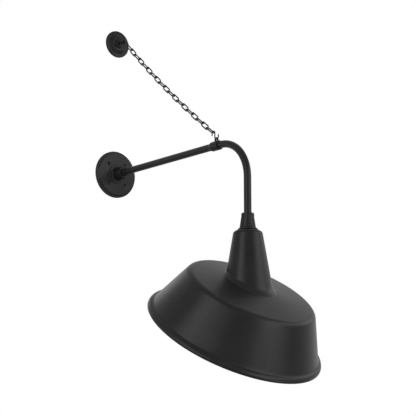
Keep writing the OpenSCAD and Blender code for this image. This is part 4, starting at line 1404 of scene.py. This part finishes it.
@dataclass
class SocketAndBulb:
    """The porcelain socket under the neck's top, its metal parts and the bulb."""

    cap_r: float = 21.5
    cap_top: float = -278.2
    cap_h: float = 21.5
    cap_skin: float = 1.0
    cap_web: float = 1.5
    cap_air: float = 12.0
    lead_r: float = 1.6
    boss_r: float = 8.15
    boss_h: float = 6.0
    body_side: float = 40.0
    well_r: float = 14.0
    well_depth: float = 32.0
    shell_t: float = 0.5
    shell_gap: float = 0.3
    shell_from: float = 0.4
    shell_len: float = 23.2
    pitch: float = 3.63
    wave: float = 0.22
    bulb_tip: float = -312.55
    bulb_r: float = 36.5
    bulb_mid: float = -428.05
    bulb_turn: float = 38.0
    bulb_neck_r: float = 12.7
    cap_foot: float = -338.55
    screw_r: float = 13.1
    screw_depth: float = 0.3
    cap_bead: float = 1.6
    cap_plain: float = 5.0
    cap_end: float = 0.8
    glass_t: float = 1.2
    crown_r: float = 8.0

    def build(self) -> None:
        """Adds the socket's cap and body, its screw shell, and the bulb."""
        seat, skin_r = PLACE.nipple_r, self.cap_r - self.cap_skin
        cap = rounded([
            Corner(seat, self.boss_h), Corner(self.boss_r, self.boss_h, 0.8), Corner(self.boss_r, 0, 0.8),
            Corner(self.cap_r, 0, 2.2), Corner(self.cap_r, -self.cap_h, 0.3),
            Corner(skin_r, -self.cap_h, 0.3), Corner(skin_r, -self.cap_web, 1.2),
            Corner(seat, -self.cap_web)])
        add_piece("socket_cap_drawn", moved(lathe("cap", cap, 96), PLACE.on_stem(self.cap_top)), ZINC,
                  Body.LAMP_HEAD, Slot.PLATED, ["socket_cap"])
        top = self.cap_top - self.cap_web - self.cap_air - PLACE.socket_foot
        inner_r = skin_r - PLACE.fit_gap
        body = rounded([
            Corner(self.well_r, 0, 0.6), Corner(self.cap_r, 0, 1.8), Corner(self.cap_r, self.body_side, 0.3),
            Corner(inner_r, self.body_side), Corner(inner_r, top, 0.6), Corner(self.lead_r, top),
            Corner(self.lead_r, self.well_depth), Corner(self.well_r, self.well_depth, 0.8)])
        add_piece("socket_porcelain", moved(lathe("body", body, 96), PLACE.on_stem(PLACE.socket_foot)),
                  PORCELAIN, Body.LAMP_HEAD, Slot.PORCELAIN, ["socket_body"])
        self.add_shell()
        self.add_bulb()

    def add_shell(self) -> None:
        """Adds the rolled screw shell in the socket's well."""
        outer = []
        for i in range(53):
            z = self.shell_from + self.shell_len * i / 52
            wave = self.wave * math.sin(math.tau * z / self.pitch)
            outer.append((self.well_r - self.shell_gap + wave - self.wave, z))
        inner = [(r - self.shell_t / 3, z) for r, z in reversed(outer)]
        mesh = lathe("shell", outer + inner, 72)
        add_piece("screw_shell_rolled", moved(mesh, PLACE.on_stem(PLACE.socket_foot + 1)), BRASS,
                  Body.LAMP_HEAD, Slot.BRASS, ["screw_shell"])

    def add_bulb(self) -> None:
        """Adds the bulb's frosted glass and its screw cap."""
        turn = math.radians(self.bulb_turn)
        at = Vector(shifted((0.0, self.bulb_mid), polar(self.bulb_r, turn)))
        slope = (at.x - self.bulb_neck_r) / math.sin(turn)
        to = at + Vector((-math.sin(turn), math.cos(turn))) * 0.8 * slope
        neck = Vector((self.bulb_neck_r, to.y + slope / 2))
        knee = Vector((self.bulb_neck_r, to.y + slope * 0.25))
        glass = arc((0, self.bulb_mid), self.bulb_r, -90, self.bulb_turn, 36)
        glass += bent(at + (to - at) * 0.6, knee, neck) + [(self.bulb_neck_r, self.cap_foot)]
        inner = [(max(0.0, r - self.glass_t), z + (self.glass_t if r < self.crown_r else 0.0))
                 for r, z in reversed(glass)]
        mesh = moved(lathe("glass", glass + inner, 96), PLACE.on_stem(0))
        add_piece("bulb_glass_frosted", mesh, FROSTED, Body.BULB, Slot.GLASS, ["bulb_glass"], 60)
        foot, top = self.cap_foot, self.bulb_tip - self.cap_plain
        skin = [(self.screw_r - self.cap_bead, foot), (self.screw_r, foot)]
        length = top - foot - self.cap_plain - self.cap_end
        for i in range(49):
            z = self.cap_plain + length * i / 48
            wave = self.screw_depth * math.cos(math.tau * z / self.pitch)
            skin.append((self.screw_r - self.screw_depth + wave, foot + z))
        skin += [(self.screw_r - self.cap_bead, top)]
        add_piece("bulb_cap_rolled", moved(lathe("cap", skin, 72), PLACE.on_stem(0)), CAP_METAL,
                  Body.BULB, Slot.BULB_CAP, ["bulb_cap"])


# Carried-over nodes


def dress_small_parts() -> None:
    """Gives the solid model's own small pieces, which keep their shape, their real finishes."""
    kept: dict[str, Finish] = {
        "lock_ring_screw": BLACK_OXIDE, "collar_screws": BLACK_OXIDE, "holder_screw": BLACK_OXIDE,
        "lead_live": LEAD_BLACK, "lead_neutral": LEAD_WHITE, "lead_earth": LEAD_GREEN,
        "socket_lead_live": LEAD_BLACK, "socket_lead_neutral": LEAD_WHITE, "socket_lead_earth": LEAD_GREEN,
        "stem_nipple": ZINC, "nipple_nut": ZINC, "centre_contact": BRASS, "terminal_screws": BRASS,
        "bulb_foot": CAP_GLASS}
    for name, finish in kept.items():
        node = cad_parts[name]
        node.data.materials.clear()
        node.data.materials.append(finish.material())
        log.info("%s: kept, %s", name, finish.name)


# Studio


@dataclass(frozen=True)
class Lamp:
    """A soft box: how far round from the camera and how high it stands, and its power.

    The turn is in degrees and positive to the right, as seen from the camera. The rise is in degrees.
    """

    name: str
    turn: float
    rise: float
    watts: float
    width: float
    height: float = 1.0
    distance: float = 3.0


@dataclass
class Studio:
    """The camera at the photograph's angle, soft boxes, a pale floor and a white surround."""

    distance: float = 3.2
    azimuth: float = -39.8
    elevation: float = -10.68
    aim: Point = (-0.0002, -0.4732, -0.1781)
    focal_px: float = 1104.9
    frame_px: float = 416.0
    sensor_mm: float = 36.0
    clip: Pair = (0.05, 60.0)
    floor_z: float = -2.6
    floor_half: float = 8.0
    ambient: float = 0.55
    lit: Point = (0.0, -0.6, -0.35)
    lamps: tuple[Lamp, ...] = (
        Lamp("left_front", -33.0, 0.0, 33.0, 1.7), Lamp("left_high", -44.0, 25.0, 30.0, 1.4),
        Lamp("left_far", -90.0, 0.0, 14.0, 1.4), Lamp("left_behind", -150.0, 25.0, 2.0, 1.0),
        Lamp("right_front", 47.0, 0.0, 49.0, 1.7), Lamp("right_high", 68.0, 25.0, 32.0, 2.0),
        Lamp("right_low", 63.0, -25.0, 14.0, 1.2), Lamp("right_behind", 112.0, 25.0, 9.0, 1.8))

    @staticmethod
    def toward(azimuth: float, elevation: float) -> Vector:
        """Returns the way from the middle to a place in the room.

        Args:
            azimuth: The turn from -Y towards +X, in degrees.
            elevation: The height above the horizon, in degrees.

        Returns:
            A vector of length 1.
        """
        turn, rise = math.radians(azimuth), math.radians(elevation)
        return Vector((math.sin(turn) * math.cos(rise), -math.cos(turn) * math.cos(rise), math.sin(rise)))

    @staticmethod
    def aimed(thing: Object, target: Point, offset: Vector) -> None:
        """Puts a thing at an offset from its target and turns it to the target.

        Args:
            thing: The camera or lamp.
            target: What it looks at or lights.
            offset: The way from the target to it.
        """
        thing.location = Vector(target) + offset
        thing.rotation_mode = "QUATERNION"
        thing.rotation_quaternion = (-offset).to_track_quat("-Z", "Y")

    def camera(self) -> None:
        """Sets the camera where the photograph was taken from."""
        back = self.toward(self.azimuth, self.elevation)
        data = bpy.data.cameras.new("camera")
        data.sensor_width = self.sensor_mm
        data.lens = self.focal_px / self.frame_px * self.sensor_mm
        data.clip_start, data.clip_end = self.clip
        camera = linked("camera", data)
        self.aimed(camera, self.aim, back * self.distance)
        bpy.context.scene.camera = camera

    def lights(self) -> None:
        """Hangs the soft boxes round the light, each turned to it."""
        for lamp in self.lamps:
            way = self.toward(self.azimuth + lamp.turn, lamp.rise)
            data = bpy.data.lights.new(lamp.name, "AREA")
            data.shape, data.size, data.size_y, data.energy = "RECTANGLE", lamp.width, lamp.height, lamp.watts
            self.aimed(linked(lamp.name, data), self.lit, way * lamp.distance)

    def floor(self) -> None:
        """Lays a pale floor that keeps the object's shadow."""
        half, low = self.floor_half, self.floor_z
        mesh = bpy.data.meshes.new("floor")
        corners = [(-half, -half, low), (half, -half, low), (half, half, low), (-half, half, low)]
        mesh.from_pydata(corners, [], [(0, 1, 2, 3)])
        material = bpy.data.materials.new("floor_matte_paint")
        tree = cleared(material)
        shader = add_node(tree, "ShaderNodeBsdfDiffuse", {"Color": linear("#f2f2f1"), "Roughness": 1.0})
        add_node(tree, "ShaderNodeOutputMaterial", {"Surface": shader.outputs[0]})
        mesh.materials.append(material)
        thing = linked("floor", mesh)

    def surround(self) -> None:
        """Makes the surround white where the camera or a reflection sees it, and plain grey as a light."""
        world = bpy.data.worlds.new("surround")
        bpy.context.scene.world = world
        tree = cleared(world)
        path = add_node(tree, "ShaderNodeLightPath")
        mirror = combined(tree, "MAXIMUM", path.outputs["Is Camera Ray"], path.outputs["Is Glossy Ray"])
        seen = combined(tree, "MAXIMUM", mirror, path.outputs["Is Transmission Ray"])
        grey = add_node(tree, "ShaderNodeBackground", {"Color": linear("#ffffff"), "Strength": self.ambient})
        white = add_node(tree, "ShaderNodeBackground", {"Color": linear("#ffffff"), "Strength": 1.0})
        mix = add_node(tree, "ShaderNodeMixShader", {0: seen, 1: grey.outputs[0], 2: white.outputs[0]})
        add_node(tree, "ShaderNodeOutputWorld", {"Surface": mix.outputs[0]})

    def build(self) -> None:
        """Sets up the whole studio."""
        self.camera()
        self.lights()
        self.floor()
        self.surround()
        bpy.context.scene.view_settings.view_transform = "Standard"


def main() -> None:
    """Builds the studio, then each sub-assembly from the wall to the bulb."""
    logging.basicConfig(level=logging.INFO, format="%(name)s %(message)s")
    Studio().build()
    for part in (WallFlange(), Pipework(), Collar(), Anchor(), Chain(), Holder(), Shade(), SocketAndBulb()):
        part.build()
    dress_small_parts()


if __name__ == "__main__":
    main()
